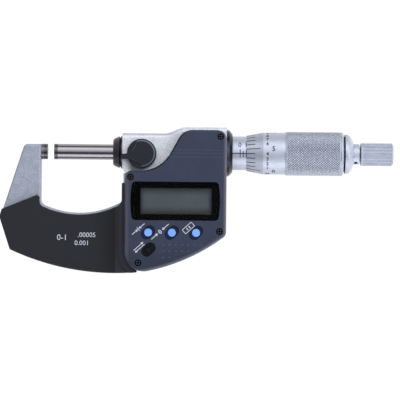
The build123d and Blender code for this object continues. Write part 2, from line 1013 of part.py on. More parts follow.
with BuildPart() as ratchet_screw:
    with BuildSketch(Plane.YZ.offset(ratchet_screw_end + seat_gap)):
        Circle(ratchet_screw_r)
    extrude(amount=knob_head_seat + running_gap - ratchet_screw_end - seat_gap)
    with BuildSketch(Plane.YZ.offset(knob_head_seat + running_gap)):
        Circle(ratchet_head_r)
    extrude(amount=ratchet_head)
    with BuildSketch(Plane.YZ.offset(knob_head_seat + running_gap + ratchet_head)):
        Rectangle(ratchet_slot[0], 2 * ratchet_head_r)
    extrude(amount=-ratchet_slot[1], mode=Mode.SUBTRACT)

with BuildPart() as ratchet_knob:
    revolve(
        turned(
            (
                (knob_start, knob_bore_r),
                (knob_start, knob_r - knob_chamfer),
                (knob_start + knob_chamfer, knob_r),
                (knob_end - knob_dome, knob_r),
                (knob_end - 0.3 * knob_dome, knob_r - 0.4 * knob_dome),
                (knob_end, knob_r - knob_dome),
                (knob_end, knob_head_bore_r),
                (knob_head_seat, knob_head_bore_r),
                (knob_head_seat, ratchet_screw_r + running_gap),
                (knob_web, ratchet_screw_r + running_gap),
                (knob_web, knob_bore_r),
            )
        ),
        axis=Axis.X,
    )
    with BuildSketch(Plane.YZ.offset(flute_start)):
        with PolarLocations(knob_r + 0.25 * flute_r, flute_count):
            Circle(flute_r)
    extrude(amount=knob_end - knob_dome - flute_start, mode=Mode.SUBTRACT)
    add(ratchet_ring(knob_web, -tooth_height, knob_bore_r))

# Front cover: bevelled shell with window, button recesses, screw posts and room for the hub
window_floor = cover_face - pane_thickness - mask_thickness
with BuildPart() as front_cover:
    extrude(housing_profile(cover_seat), amount=cover_face - cover_seat)
    fillet(front_cover.faces().sort_by(Axis.Z)[-1].edges(), cover_bevel)
    extrude(
        housing_profile(cover_seat, housing_wall),
        amount=cover_inside - cover_seat,
        mode=Mode.SUBTRACT,
    )
    with BuildSketch(Plane.XY.offset(cover_seat)):
        with Locations(*cover_screws):
            Circle(post_r)
    extrude(amount=cover_inside - cover_seat)
    extrude(housing_profile(cover_seat), amount=cover_face - cover_seat, mode=Mode.INTERSECT)
    with Locations((hub_left, hub_bottom, 0)):
        Box(
            hub_right - hub_left + 1,
            2 * housing_top - hub_bottom,
            hub_half,
            align=(Align.MIN, Align.MIN, Align.MIN),
            mode=Mode.SUBTRACT,
        )
    extrude(window_profile(window_floor), amount=cover_face - window_floor, mode=Mode.SUBTRACT)
    with BuildSketch(Plane.XY.offset(cover_inside)):
        with Locations(view_centre):
            Rectangle(view_width + 2 * seat_gap, view_height + 2 * seat_gap)
    extrude(amount=cover_thickness, mode=Mode.SUBTRACT)
    with BuildSketch(Plane.XY.offset(cover_face)):
        with Locations(*[(x, button_row_y) for x in button_row_x], unit_button_at):
            SlotOverall(button_recess[0], button_recess[1], rotation=button_recess_turn)
    extrude(amount=-button_recess[2], mode=Mode.SUBTRACT)
    with BuildSketch(Plane.XY.offset(cover_inside)):
        with Locations(*[(x, button_row_y) for x in button_row_x]):
            Circle(button_r + slide_gap)
        with Locations(unit_button_at):
            Circle(unit_button_r + slide_gap)
    extrude(amount=cover_thickness, mode=Mode.SUBTRACT)
    with Locations(*[(x, y, cover_face) for x, y in cover_screws]):
        CounterBoreHole(
            radius=screw_r + slide_gap,
            counter_bore_radius=screw_head_r + slide_gap,
            counter_bore_depth=screw_head_height + screw_recess,
        )


def housing_gasket(level):
    """Flat seal under the housing's wall, from level to the next gasket thickness."""
    with BuildPart() as seal:
        extrude(housing_profile(level), amount=gasket_thickness)
        extrude(housing_profile(level, housing_wall), amount=gasket_thickness, mode=Mode.SUBTRACT)
        with Locations((hub_left, hub_bottom, level)):
            Box(
                hub_right - hub_left + 1,
                2 * housing_top - hub_bottom,
                gasket_thickness,
                align=(Align.MIN, Align.MIN, Align.MIN),
                mode=Mode.SUBTRACT,
            )
        with BuildSketch(Plane.XY.offset(level)):
            with Locations(*cover_screws):
                Circle(screw_r + slide_gap)
        extrude(amount=gasket_thickness, mode=Mode.SUBTRACT)
    return seal.part


with BuildPart() as cover_gasket:
    add(housing_gasket(web_half))

with BuildPart() as rear_gasket:
    add(housing_gasket(rear_seat))

# Window pane and the dark mask behind it
with BuildPart() as window_mask:
    extrude(window_profile(window_floor, slide_gap), amount=mask_thickness)
    with BuildSketch(Plane.XY.offset(window_floor)):
        with Locations(view_centre):
            Rectangle(view_width, view_height)
    extrude(amount=mask_thickness, mode=Mode.SUBTRACT)

with BuildPart() as display_window:
    extrude(
        window_profile(window_floor + mask_thickness, slide_gap),
        amount=pane_thickness - pane_recess,
    )

# Circuit board on the web, cut clear of the screw posts
board_back = web_half
board_front = board_back + board_thickness
with BuildPart() as circuit_board:
    extrude(housing_profile(board_back, board_inset), amount=board_thickness)
    with Locations((hub_left, board_top, board_back)):
        Box(
            hub_right - hub_left + 1,
            2 * housing_top - board_top,
            board_thickness,
            align=(Align.MIN, Align.MIN, Align.MIN),
            mode=Mode.SUBTRACT,
        )
    with BuildSketch(Plane.XY.offset(board_back)):
        with Locations(*cover_screws):
            Circle(post_r + case_gap)
    extrude(amount=board_thickness, mode=Mode.SUBTRACT)

# Display panel, its holder and the two conductive strips down to the board
panel_width = view_width + 2 * panel_border
panel_height = view_height + 2 * panel_border
panel_back = cover_inside - panel_thickness
with BuildPart() as lcd_panel:
    with BuildSketch(Plane.XY.offset(panel_back)):
        with Locations(view_centre):
            Rectangle(panel_width, panel_height)
    extrude(amount=panel_thickness)

with BuildPart() as lcd_holder:
    with BuildSketch(Plane.XY.offset(board_front)):
        with Locations(view_centre):
            Rectangle(panel_width + 2 * holder_wall, panel_height + 2 * holder_wall)
    extrude(amount=cover_inside - seat_gap - board_front)
    with BuildSketch(Plane.XY.offset(panel_back)):
        with Locations(view_centre):
            Rectangle(panel_width + 2 * slide_gap, panel_height + 2 * slide_gap)
    extrude(amount=panel_thickness, mode=Mode.SUBTRACT)
    with BuildSketch(Plane.XY.offset(board_front)):
        with Locations(view_centre):
            Rectangle(view_width, view_height)
    extrude(amount=panel_back - board_front, mode=Mode.SUBTRACT)

with BuildPart() as elastomer_strips:
    strip_y = view_height / 2 - strip_thickness / 2 - slide_gap
    with BuildSketch(Plane.XY.offset(board_front)):
        with Locations(
            (view_centre[0], view_centre[1] + strip_y),
            (view_centre[0], view_centre[1] - strip_y),
        ):
            Rectangle(view_width - 2 * strip_margin, strip_thickness)
    extrude(amount=panel_back - board_front)

# Rubber button membrane and the four buttons on its domes
button_bottom = cover_inside - running_gap - button_flange
dome_top = button_bottom - button_travel - running_gap
dome_places = [(x, button_row_y) for x in button_row_x] + [unit_button_at]
with BuildPart() as button_membrane:
    with BuildSketch(Plane.XY.offset(board_front)):
        row_middle = (button_row_x[0] + button_row_x[-1]) / 2
        with Locations((row_middle, button_row_y)):
            Rectangle(button_row_x[-1] - button_row_x[0] + membrane_width, membrane_width)
        with Locations((unit_button_at[0], (button_row_y + unit_button_at[1]) / 2)):
            Rectangle(membrane_width, button_row_y - unit_button_at[1] + 2 * dome_r)
    extrude(amount=membrane_thickness)
    with BuildSketch(Plane.XY.offset(board_front)):
        with Locations(*dome_places):
            Circle(dome_r)
    extrude(amount=dome_top - board_front)
    with BuildSketch(Plane.XY.offset(board_front)):
        with Locations(*dome_places):
            Circle(dome_r - dome_wall)
    extrude(amount=dome_top - board_front - dome_roof, mode=Mode.SUBTRACT)


def button(at, radius):
    """Round button with a flange below the cover, standing just above its dome."""
    with BuildPart() as cap:
        with BuildSketch(Plane.XY.offset(button_bottom)):
            with Locations(at):
                Circle(radius + button_lip)
        extrude(amount=button_flange)
        with BuildSketch(Plane.XY.offset(button_bottom + button_flange)):
            with Locations(at):
                Circle(radius)
        extrude(amount=cover_face + button_rise - button_bottom - button_flange)
        chamfer(cap.edges().sort_by(Axis.Z)[-1], button_edge)
    return cap.part


with BuildPart() as set_button:
    add(button((button_row_x[0], button_row_y), button_r))

with BuildPart() as zero_button:
    add(button((button_row_x[1], button_row_y), button_r))

with BuildPart() as hold_button:
    add(button((button_row_x[2], button_row_y), button_r))

with BuildPart() as unit_button:
    add(button(unit_button_at, unit_button_r))

# Housing screws, four in front and four behind
front_screw_seat = cover_face - screw_recess - screw_head_height
rear_screw_seat = rear_face + screw_recess + screw_head_height
with BuildPart() as front_cover_screws:
    for at in cover_screws:
        face = hub_half if hub_face(at) else web_half
        add(screw(at, front_screw_seat, face - screw_grip, 1))

with BuildPart() as rear_case_screws:
    for at in cover_screws:
        face = hub_half if hub_face(at) else web_half
        add(screw(at, rear_screw_seat, screw_grip - face, -1))

# Rear case: shell with battery well, screw posts, port opening and room for the hub
battery_low = rear_face + battery_cap_depth + battery_cap_thickness
battery_seat = battery_low + 2 * seal_ring_r + seat_gap
well_r = battery_cap_r + battery_wall
with BuildPart() as rear_case:
    extrude(housing_profile(rear_face), amount=rear_seat - rear_face)
    chamfer(rear_case.faces().sort_by(Axis.Z)[0].edges(), rear_bevel)
    extrude(
        housing_profile(-hub_half, housing_wall),
        amount=rear_seat + hub_half,
        mode=Mode.SUBTRACT,
    )
    with BuildSketch(Plane.XY.offset(-hub_half)):
        with Locations(*cover_screws):
            Circle(post_r)
        with Locations(battery_centre):
            Circle(well_r)
    extrude(amount=hub_half + rear_seat)
    extrude(
        housing_profile(rear_face - 1), amount=rear_seat - rear_face + 1, mode=Mode.INTERSECT
    )
    with Locations((hub_left, hub_bottom, -hub_half)):
        Box(
            hub_right - hub_left + 1,
            2 * housing_top - hub_bottom,
            hub_half,
            align=(Align.MIN, Align.MIN, Align.MIN),
            mode=Mode.SUBTRACT,
        )
    # Battery well with the cap's wider mouth
    with BuildSketch(Plane.XY.offset(rear_face)):
        with Locations(battery_centre):
            Circle(battery_r + seat_gap)
    extrude(amount=rear_seat - rear_face, mode=Mode.SUBTRACT)
    with BuildSketch(Plane.XY.offset(rear_face)):
        with Locations(battery_centre):
            Circle(battery_cap_r + running_gap)
    extrude(amount=battery_seat - rear_face, mode=Mode.SUBTRACT)
    # Recess, opening and screw holes of the data port
    with BuildSketch(Plane.XY.offset(rear_face)):
        with Locations(port_centre):
            SlotOverall(port_cap[0] + 2 * seat_gap, port_cap[1] + 2 * seat_gap)
    extrude(amount=port_cap[2], mode=Mode.SUBTRACT)
    with BuildSketch(Plane.XY.offset(rear_face)):
        with Locations(port_centre):
            Rectangle(port_socket[0] - 2 * port_rim, port_socket[1] - 2 * port_rim)
        with Locations(port_centre):
            with GridLocations(port_screw_pitch, 0, 2, 1):
                Circle(port_screw_r + press_gap)
    extrude(amount=-hub_half - rear_face, mode=Mode.SUBTRACT)
    for at in cover_screws:
        with BuildSketch(Plane.XY.offset(rear_face)):
            with Locations(at):
                Circle(screw_head_r + slide_gap)
        extrude(amount=screw_head_height + screw_recess, mode=Mode.SUBTRACT)
        with BuildSketch(Plane.XY.offset(rear_face)):
            with Locations(at):
                Circle(screw_r + slide_gap)
        extrude(amount=rear_seat - rear_face, mode=Mode.SUBTRACT)

# Battery, the strip that touches it, and the screwed cap with its seal ring
battery_top = battery_low + battery_height
with BuildPart() as battery:
    with BuildSketch(Plane.XY.offset(battery_low)):
        with Locations(battery_centre):
            Circle(battery_r)
    extrude(amount=battery_height)
    fillet(battery.edges().filter_by(GeomType.CIRCLE), battery_edge_r)

with BuildPart() as battery_contact:
    contact_x = battery_centre[0]
    with BuildSketch(Plane.XZ.offset(-battery_centre[1] - contact_width / 2)):
        with BuildLine():
            Polyline(
                (contact_x - contact_reach, battery_top),
                (contact_x + contact_post, battery_top),
                (contact_x + contact_post, board_back - contact_thickness),
                (contact_x + contact_foot, board_back - contact_thickness),
                (contact_x + contact_foot, board_back),
                (contact_x + contact_post - contact_thickness, board_back),
                (contact_x + contact_post - contact_thickness, battery_top + contact_thickness),
                (contact_x - contact_reach, battery_top + contact_thickness),
                close=True,
            )
        make_face()
    extrude(amount=contact_width)

with BuildPart() as battery_cap:
    with BuildSketch(Plane.XY.offset(battery_low - battery_cap_thickness)):
        with Locations(battery_centre):
            Circle(battery_cap_r)
    extrude(amount=battery_cap_thickness)
    with BuildSketch(Plane.XY.offset(battery_low - battery_cap_thickness)):
        with Locations(battery_centre):
            SlotOverall(coin_slot[0], coin_slot[1], rotation=coin_slot_turn)
    extrude(amount=coin_slot[2], mode=Mode.SUBTRACT)

with BuildPart() as battery_cap_seal:
    ring_centre_r = battery_cap_r - seal_ring_r - running_gap
    with BuildSketch(Plane.XZ.offset(-battery_centre[1])):
        with Locations((battery_centre[0] + ring_centre_r, battery_low + seal_ring_r)):
            Circle(seal_ring_r)
    revolve(axis=Axis((battery_centre[0], battery_centre[1], 0), (0, 0, 1)))

# Data port: cap in its recess, two screws and the socket inside
with BuildPart() as data_port_cap:
    with BuildSketch(Plane.XY.offset(rear_face + seat_gap)):
        with Locations(port_centre):
            SlotOverall(port_cap[0], port_cap[1])
    extrude(amount=port_cap[2] - seat_gap)
    with BuildSketch(Plane.XY.offset(rear_face + seat_gap)):
        with Locations(port_centre):
            with GridLocations(port_screw_pitch, 0, 2, 1):
                Circle(port_screw_r + press_gap)
    extrude(amount=port_cap[2], mode=Mode.SUBTRACT)

with BuildPart() as data_port_screws:
    with BuildSketch(Plane.XY.offset(rear_face + seat_gap)):
        with Locations(port_centre):
            with GridLocations(port_screw_pitch, 0, 2, 1):
                Circle(port_screw_r)
    extrude(amount=-hub_half - rear_face - seat_gap)

with BuildPart() as data_connector:
    with BuildSketch(Plane.XY.offset(-hub_half)):
        with Locations(port_centre):
            Rectangle(port_socket[0], port_socket[1])
    extrude(amount=port_socket[2])
    with BuildSketch(Plane.XY.offset(-hub_half)):
        with Locations(port_centre):
            Rectangle(port_socket[0] - 2 * port_wall, port_socket[1] - 2 * port_wall)
    extrude(amount=port_socket[2] - port_floor, mode=Mode.SUBTRACT)

pieces = {
    "frame": frame,
    "anvil": anvil,
    "anvil_tip": anvil_tip,
    "front_plate": front_plate,
    "rear_plate": rear_plate,
    "seal_cap": seal_cap,
    "spindle_seal": spindle_seal,
    "spindle_bush": spindle_bush,
    "clamp_pad": clamp_pad,
    "clamp_shaft": clamp_shaft,
    "clamp_lever": clamp_lever,
    "encoder_stator": encoder_stator,
    "rotor_retainer": rotor_retainer,
    "encoder_rotor": encoder_rotor,
    "rotor_key": rotor_key,
    "spindle": spindle,
    "spindle_tip": spindle_tip,
    "inner_sleeve": inner_sleeve,
    "adjusting_nut": adjusting_nut,
    "scale_sleeve": scale_sleeve,
    "sleeve_collar": sleeve_collar,
    "thimble": thimble,
    "thimble_end_cap": thimble_end_cap,
    "ratchet_click": ratchet_click,
    "ratchet_springs": ratchet_springs,
    "ratchet_screw": ratchet_screw,
    "ratchet_knob": ratchet_knob,
    "front_cover": front_cover,
    "cover_gasket": cover_gasket,
    "rear_gasket": rear_gasket,
    "window_mask": window_mask,
    "display_window": display_window,
    "circuit_board": circuit_board,
    "lcd_panel": lcd_panel,
    "lcd_holder": lcd_holder,
    "elastomer_strips": elastomer_strips,
    "button_membrane": button_membrane,
    "set_button": set_button,
    "zero_button": zero_button,
    "hold_button": hold_button,
    "unit_button": unit_button,
    "front_cover_screws": front_cover_screws,
    "rear_case_screws": rear_case_screws,
    "rear_case": rear_case,
    "battery": battery,
    "battery_contact": battery_contact,
    "battery_cap": battery_cap,
    "battery_cap_seal": battery_cap_seal,
    "data_port_cap": data_port_cap,
    "data_port_screws": data_port_screws,
    "data_connector": data_connector,
}

for name, piece in pieces.items():
    piece.part.label = name
    export_step(piece.part, f"parts/{name}.step")
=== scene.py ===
"""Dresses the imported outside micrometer: coated frame, turned and knurled steel, moulded housing."""
import math

import bmesh
import bpy
from bpy.props import FloatProperty, FloatVectorProperty, IntProperty, PointerProperty
from mathutils import Matrix, Vector


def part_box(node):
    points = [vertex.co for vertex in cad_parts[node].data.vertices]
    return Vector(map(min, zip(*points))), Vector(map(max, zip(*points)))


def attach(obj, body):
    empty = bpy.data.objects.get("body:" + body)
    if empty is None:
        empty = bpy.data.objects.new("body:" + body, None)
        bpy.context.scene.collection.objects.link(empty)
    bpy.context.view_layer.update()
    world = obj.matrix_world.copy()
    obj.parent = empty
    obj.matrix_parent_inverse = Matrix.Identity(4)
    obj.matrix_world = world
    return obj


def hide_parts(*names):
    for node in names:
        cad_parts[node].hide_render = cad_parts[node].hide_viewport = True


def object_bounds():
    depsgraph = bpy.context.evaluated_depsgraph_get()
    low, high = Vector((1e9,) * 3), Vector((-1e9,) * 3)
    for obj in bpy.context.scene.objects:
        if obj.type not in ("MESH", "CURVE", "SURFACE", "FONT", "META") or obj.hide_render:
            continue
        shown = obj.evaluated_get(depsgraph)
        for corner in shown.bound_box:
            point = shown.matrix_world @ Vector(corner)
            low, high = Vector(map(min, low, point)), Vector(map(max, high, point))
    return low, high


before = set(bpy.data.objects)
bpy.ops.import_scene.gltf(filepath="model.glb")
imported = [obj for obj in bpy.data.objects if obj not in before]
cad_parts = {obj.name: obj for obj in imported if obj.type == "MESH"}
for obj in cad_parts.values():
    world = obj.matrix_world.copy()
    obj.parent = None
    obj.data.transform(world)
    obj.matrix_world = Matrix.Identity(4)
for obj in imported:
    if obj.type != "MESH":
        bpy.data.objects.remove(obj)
cad_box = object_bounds()

bl_info = {
    "name": "Outside Micrometer Dressing",
    "version": (1, 0, 0),
    "blender": (4, 5, 0),
    "location": "View3D > Sidebar > Micrometer",
    "description": "Finishes, knurl, graduations and display of a digital outside micrometer",
    "category": "Object",
}

MM = 0.001
ARC_LENGTH = 2.4
PRINT_THICKNESS = 0.03 * MM
# Height of a numeral as a share of the text size
NUMERAL_SHARE = 0.7
# Centre and radius of the arc along the lower edge of the cover
LOWER_EDGE = (25.6 * MM, 27.433 * MM, 77.4 * MM)
# Middle and size of the display that the window shows
VIEW_MIDDLE = (52.8 * MM, -19.85 * MM)
VIEW_SIZE = (28.9 * MM, 10.7 * MM)


def length(name, description, value):
    """Length property whose default is given in millimetres."""
    return FloatProperty(
        name=name, description=description, default=value * MM, min=0.0, unit="LENGTH", precision=6
    )


def colour(name, description, value):
    """Colour property with a linear default."""
    return FloatVectorProperty(
        name=name, description=description, default=value, size=3, min=0.0, max=1.0, subtype="COLOR"
    )


class MicrometerFinishes(bpy.types.PropertyGroup):
    """Colours of the finishes"""

    coat: colour("Frame coat", "Hammered silver coat of the frame", (0.383, 0.397, 0.4625))
    # Painted light: the coat made paler on the hub, where the light falls brighter
    thin_coat: colour("Hub coat", "Paler coat where the frame thickens into the hub", (0.93, 0.92, 1.0))
    plate: colour("Plates", "Moulded insulating plates", (0.0095, 0.0085, 0.0125))
    cover: colour("Cover", "Slate blue moulded cover", (0.03, 0.0365, 0.066))
    rear: colour("Rear case", "Moulded rear case", (0.012, 0.012, 0.0145))
    lever: colour("Lever", "Blue black clamp lever", (0.0025, 0.0038, 0.0125))
    satin: colour("Satin steel", "Satin chromed sleeve, thimble and knob", (0.573, 0.59, 0.66))
    ground: colour("Ground steel", "Ground spindle and anvil", (0.3, 0.27, 0.283))
    button: colour("Button", "Light blue push buttons", (0.185, 0.36, 0.84))
    # Painted shade: the blue rubber round the buttons, coloured as dark as it looks in the shade of its recess
    recess: colour("Button recess", "Dark blue floor round the buttons", (0.006, 0.0125, 0.045))
    display: colour("Display", "Grey green display", (0.066, 0.079, 0.089))
    ink: colour("Engraving", "Dark paint in the graduations", (0.012, 0.012, 0.03))
    print_white: colour("Print", "Pale print on the mouldings", (0.6, 0.62, 0.66))


class MicrometerMarks(bpy.types.PropertyGroup):
    """Sizes of graduations and numerals"""

    line_width: length("Line width", "Width of a thimble or sleeve line", 0.34)
    index_width: length("Index width", "Width of the sleeve's index line", 0.42)
    lift: length("Lift", "How far the paint stands above the steel", 0.012)
    big_digit: length("Main numerals", "Height of the numerals at every fifth line", 2.0)
    small_digit: length("Small numerals", "Height of the numerals between them", 1.35)
    weight: length("Weight", "How much the numerals are thickened", 0.05)
    sleeve_digit: length("Sleeve numerals", "Height of the sleeve's numerals", 2.2)
    drop: length("Drop", "How far the index line lies below the spindle axis", 0.18)
    divisions: IntProperty(name="Divisions", description="Lines round the thimble", default=25, min=5)


class MicrometerKnurl(bpy.types.PropertyGroup):
    """Sizes of the diamond knurl"""

    count: IntProperty(name="Diamonds", description="Diamonds round the thimble", default=54, min=12)
    row_pitch: length("Row pitch", "Distance between rows along the thimble", 1.08)
    depth: length("Depth", "Height of a diamond", 0.24)


class MicrometerStage(bpy.types.PropertyGroup):
    """Camera and light"""

    distance: length("Camera distance", "Height of the camera over the spindle axis", 1200.0)
    field: length("Field", "Width of the picture at the spindle axis", 164.0)
    roll: FloatProperty(name="Roll", description="Turn of the camera", default=0.0094, unit="ROTATION")
    sky: FloatProperty(name="Sky", description="Strength of the even light", default=0.12, min=0.0)
    arc: FloatProperty(name="Arc", description="Radiance of the arc's strongest lamp", default=3.1, min=0.0)
    reach: length("Reach", "Distance of the arc's lamps", 1100.0)
    side: FloatProperty(name="Side", description="Power of the right softbox", default=3.5, min=0.0)
    lamp: colour("Lamps", "Colour of every lamp", (0.86, 0.92, 1.0))


def finishes():
    """Colour settings of the scene."""
    return bpy.context.scene.micrometer_finishes


# Materials


def principled(name, base, roughness=0.5, metallic=0.0, **sockets):
    """Material with its shader's own sockets set, and its tree ready for a pattern."""
    material = bpy.data.materials.new(name)
    material.use_nodes = True
    shader = material.node_tree.nodes["Principled BSDF"]
    shader.inputs["Base Color"].default_value = (*base, 1.0)
    shader.inputs["Roughness"].default_value = roughness
    shader.inputs["Metallic"].default_value = metallic
    for socket, value in sockets.items():
        shader.inputs[socket.replace("_", " ")].default_value = value
    return material


def node(material, kind, inputs=(), **settings):
    """Adds a node, with its settings and its input values or links."""
    tree = material.node_tree
    new = tree.nodes.new(kind)
    for key, value in settings.items():
        setattr(new, key, value)
    for key, value in dict(inputs).items():
        if isinstance(value, bpy.types.NodeSocket):
            tree.links.new(value, new.inputs[key])
        else:
            new.inputs[key].default_value = value
    return new


def shader_of(material):
    """The material's Principled shader."""
    return material.node_tree.nodes["Principled BSDF"]


def plug(material, output, socket):
    """Links an output to a socket of the shader."""
    material.node_tree.links.new(output, shader_of(material).inputs[socket])


def place(material):
    """Object coordinates in metres."""
    return node(material, "ShaderNodeTexCoord").outputs["Object"]


def noise(material, grain, detail=3.0, roughness=0.55):
    """Noise whose blobs are about grain millimetres across."""
    inputs = {"Vector": place(material), "Scale": 1 / (grain * MM), "Detail": detail, "Roughness": roughness}
    return node(material, "ShaderNodeTexNoise", inputs).outputs["Fac"]


def remap(material, value, low, high, to_low=0.0, to_high=1.0):
    """Value mapped from one range to another."""
    inputs = {"Value": value, "From Min": low, "From Max": high, "To Min": to_low, "To Max": to_high}
    return node(material, "ShaderNodeMapRange", inputs).outputs["Result"]


def ramp(material, value, start, end, to_start=0.0, to_end=1.0):
    """Value mapped from a range given in millimetres."""
    return remap(material, value, start * MM, end * MM, to_start, to_end)


def spread(material, pattern, low=0.0, high=1.0):
    """Noise mapped from the range that most of it lies in."""
    return remap(material, pattern, 0.3, 0.7, low, high)


def tint(material, factor, first, second):
    """Colour between first and second by factor."""
    mix = node(material, "ShaderNodeMix", data_type="RGBA")
    tree = material.node_tree
    tree.links.new(factor, mix.inputs[0])
    for socket, value in ((mix.inputs[6], first), (mix.inputs[7], second)):
        if isinstance(value, bpy.types.NodeSocket):
            tree.links.new(value, socket)
        else:
            socket.default_value = (*value, 1.0)
    return mix.outputs[2]


def math_node(material, operation, first, second=0.0, third=0.0):
    """Result of a Math node."""
    values = {0: first, 1: second}
    if operation in ("COMPARE", "MULTIPLY_ADD"):
        values[2] = third
    return node(material, "ShaderNodeMath", values, operation=operation).outputs[0]


def joined(material, operation, *values):
    """Values joined one after the other by a Math operation."""
    result = values[0]
    for value in values[1:]:
        result = math_node(material, operation, result, value)
    return result


def apart(material, value, middle):
    """How far a value lies from the middle, either way."""
    return math_node(material, "ABSOLUTE", math_node(material, "SUBTRACT", value, middle))


def coordinates(material):
    """Object coordinates along X, Y and Z, in metres."""
    parts = node(material, "ShaderNodeSeparateXYZ", {"Vector": place(material)})
    return [parts.outputs[axis] for axis in "XYZ"]


def from_spot(material, x, y, vector=None):
    """Distance from a spot, seen from the front, of a vector or else of the shaded point."""
    inputs = {0: vector or place(material), 1: (1, 1, 0)}
    flat = node(material, "ShaderNodeVectorMath", inputs, operation="MULTIPLY").outputs[0]
    inputs = {0: flat, 1: (x, y, 0)}
    return node(material, "ShaderNodeVectorMath", inputs, operation="DISTANCE").outputs["Value"]


def bump(material, height, depth, strength=1.0, below=None):
    """Bump of a height from 0 to 1 that is depth millimetres high, over another bump."""
    inputs = {"Height": height, "Distance": depth * MM, "Strength": strength}
    if below:
        inputs["Normal"] = below
    return node(material, "ShaderNodeBump", inputs).outputs["Normal"]


def shade(base, factor):
    """Base colour made darker or lighter."""
    return tuple(min(1.0, c * factor) for c in base)


def feeding(material, socket="Base Color"):
    """Output that feeds a socket of the shader."""
    return shader_of(material).inputs[socket].links[0].from_socket


def mottle(material, base, pattern, dark, light):
    """Gives a material two shades of its base colour, by a noise."""
    mixed = tint(material, spread(material, pattern), shade(base, dark), shade(base, light))
    plug(material, mixed, "Base Color")


def paint_over(material, *layers):
    """Lays each (factor, colour) in turn over the base colour."""
    for factor, over in layers:
        plug(material, tint(material, factor, feeding(material), over), "Base Color")


def middle_of(name):
    """Middle of a CAD node's box."""
    low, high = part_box(name)
    return (low + high) / 2


def coated_metal(name, base, lit_hub_base):
    """Hammered metallic paint: soft dimples, fine grain and mottling, paler towards the hub by painted light,
    with painted shade along the hub's top edge and a painted shadow under the clamp lever.
    """
    coat = principled(name, base, 0.42, 0.25)
    dimple = 1.1 * MM
    cells = node(
        coat,
        "ShaderNodeTexVoronoi",
        {"Vector": place(coat), "Scale": 1 / dimple, "Smoothness": 0.6},
        feature="SMOOTH_F1",
    ).outputs["Distance"]
    grain = noise(coat, 0.45, 4.0, 0.65)
    cloud = noise(coat, 2.6, 2.0)
    blend = math_node(coat, "MULTIPLY_ADD", grain, 0.75, math_node(coat, "MULTIPLY", cloud, 0.25))
    spots = remap(coat, blend, 0.38, 0.62)
    plug(coat, tint(coat, spots, shade(base, 0.76), shade(base, 1.2)), "Base Color")

    x, y, _ = coordinates(coat)
    # Painted light: the coat paler on the hub, where the light falls brighter
    hub = joined(coat, "MULTIPLY", ramp(coat, x, 5, 33), ramp(coat, y, -15, -10))
    bright = tint(coat, spots, shade(lit_hub_base, 0.72), shade(lit_hub_base, 1.1))
    # Painted shade along the top edge of the hub
    top = joined(coat, "MULTIPLY", ramp(coat, y, 6.2, 7.4), ramp(coat, x, 50, 54, 1.0, 0.3))
    # Painted shadow of the clamp lever on the hub below it
    pivot = middle_of("clamp_shaft")
    away = from_spot(coat, pivot.x - 2.2 * MM, pivot.y - 0.6 * MM)
    below_lever = joined(coat, "MULTIPLY", ramp(coat, y, -1.0, -3.0), ramp(coat, x, 32.0, 34.6))
    lever_shadow = joined(coat, "MULTIPLY", ramp(coat, away, 6.3, 7.6, 0.84, 0.0), below_lever)
    paint_over(coat, (hub, bright), (top, shade(lit_hub_base, 0.56)), (lever_shadow, (0.08, 0.085, 0.11)))
    plug(coat, spread(coat, cloud, 0.34, 0.48), "Roughness")
    plug(coat, bump(coat, blend, 0.12, 0.8, bump(coat, cells, 0.1, 0.7)), "Normal")
    return coat


def turned_metal(name, base, roughness, ring=0.03, depth=0.0006, swing=0.05):
    """Turned metal: fine rings round the spindle axis, and faint clouds in its polish."""
    metal = principled(name, base, roughness, 1.0)
    rings = node(
        metal,
        "ShaderNodeTexNoise",
        {"W": coordinates(metal)[0], "Scale": 1 / (ring * MM), "Detail": 2.0},
        noise_dimensions="1D",
    ).outputs["Fac"]
    mottle(metal, base, rings, 0.95, 1.05)
    plug(metal, spread(metal, noise(metal, 4.0, 2.0), roughness - swing, roughness + swing), "Roughness")
    plug(metal, bump(metal, rings, depth), "Normal")
    return metal


def soiled(material, inside):
    """Paints shade into a material where inside, a value of 0 or 1, is 1: a darker colour and a weaker
    specular.
    """
    paint_over(material, (inside, (0.003, 0.003, 0.004)))
    plug(material, math_node(material, "MULTIPLY_ADD", inside, -0.45, 0.5), "Specular IOR Level")


def axis_distance(material):
    """Distance along the spindle axis and distance from it, in metres."""
    x, y, z = coordinates(material)
    across = node(material, "ShaderNodeCombineXYZ", {"Y": y, "Z": z}).outputs[0]
    return x, node(material, "ShaderNodeVectorMath", {0: across}, operation="LENGTH").outputs["Value"]


def plain_metal(name, base, roughness, grain=0.3, metallic=1.0):
    """Milled or plated metal with a fine even grain."""
    metal = principled(name, base, roughness, metallic)
    fine = noise(metal, grain, 3.0)
    mottle(metal, base, fine, 0.9, 1.1)
    plug(metal, spread(metal, fine, roughness * 0.85, roughness * 1.15), "Roughness")
    plug(metal, bump(metal, fine, 0.004), "Normal")
    return metal


def moulded(name, base, roughness, grain=0.16, depth=0.006, uneven=0.08, shine=0.4):
    """Moulded plastic with an eroded fine grain and slight unevenness in its gloss."""
    plastic = principled(name, base, roughness, Specular_IOR_Level=shine)
    fine = noise(plastic, grain, 2.0)
    mottle(plastic, base, noise(plastic, 6.0, 2.0), 1 - uneven, 1 + uneven)
    plug(plastic, spread(plastic, fine, roughness - 0.05, roughness + 0.07), "Roughness")
    plug(plastic, bump(plastic, fine, depth), "Normal")
    return plastic


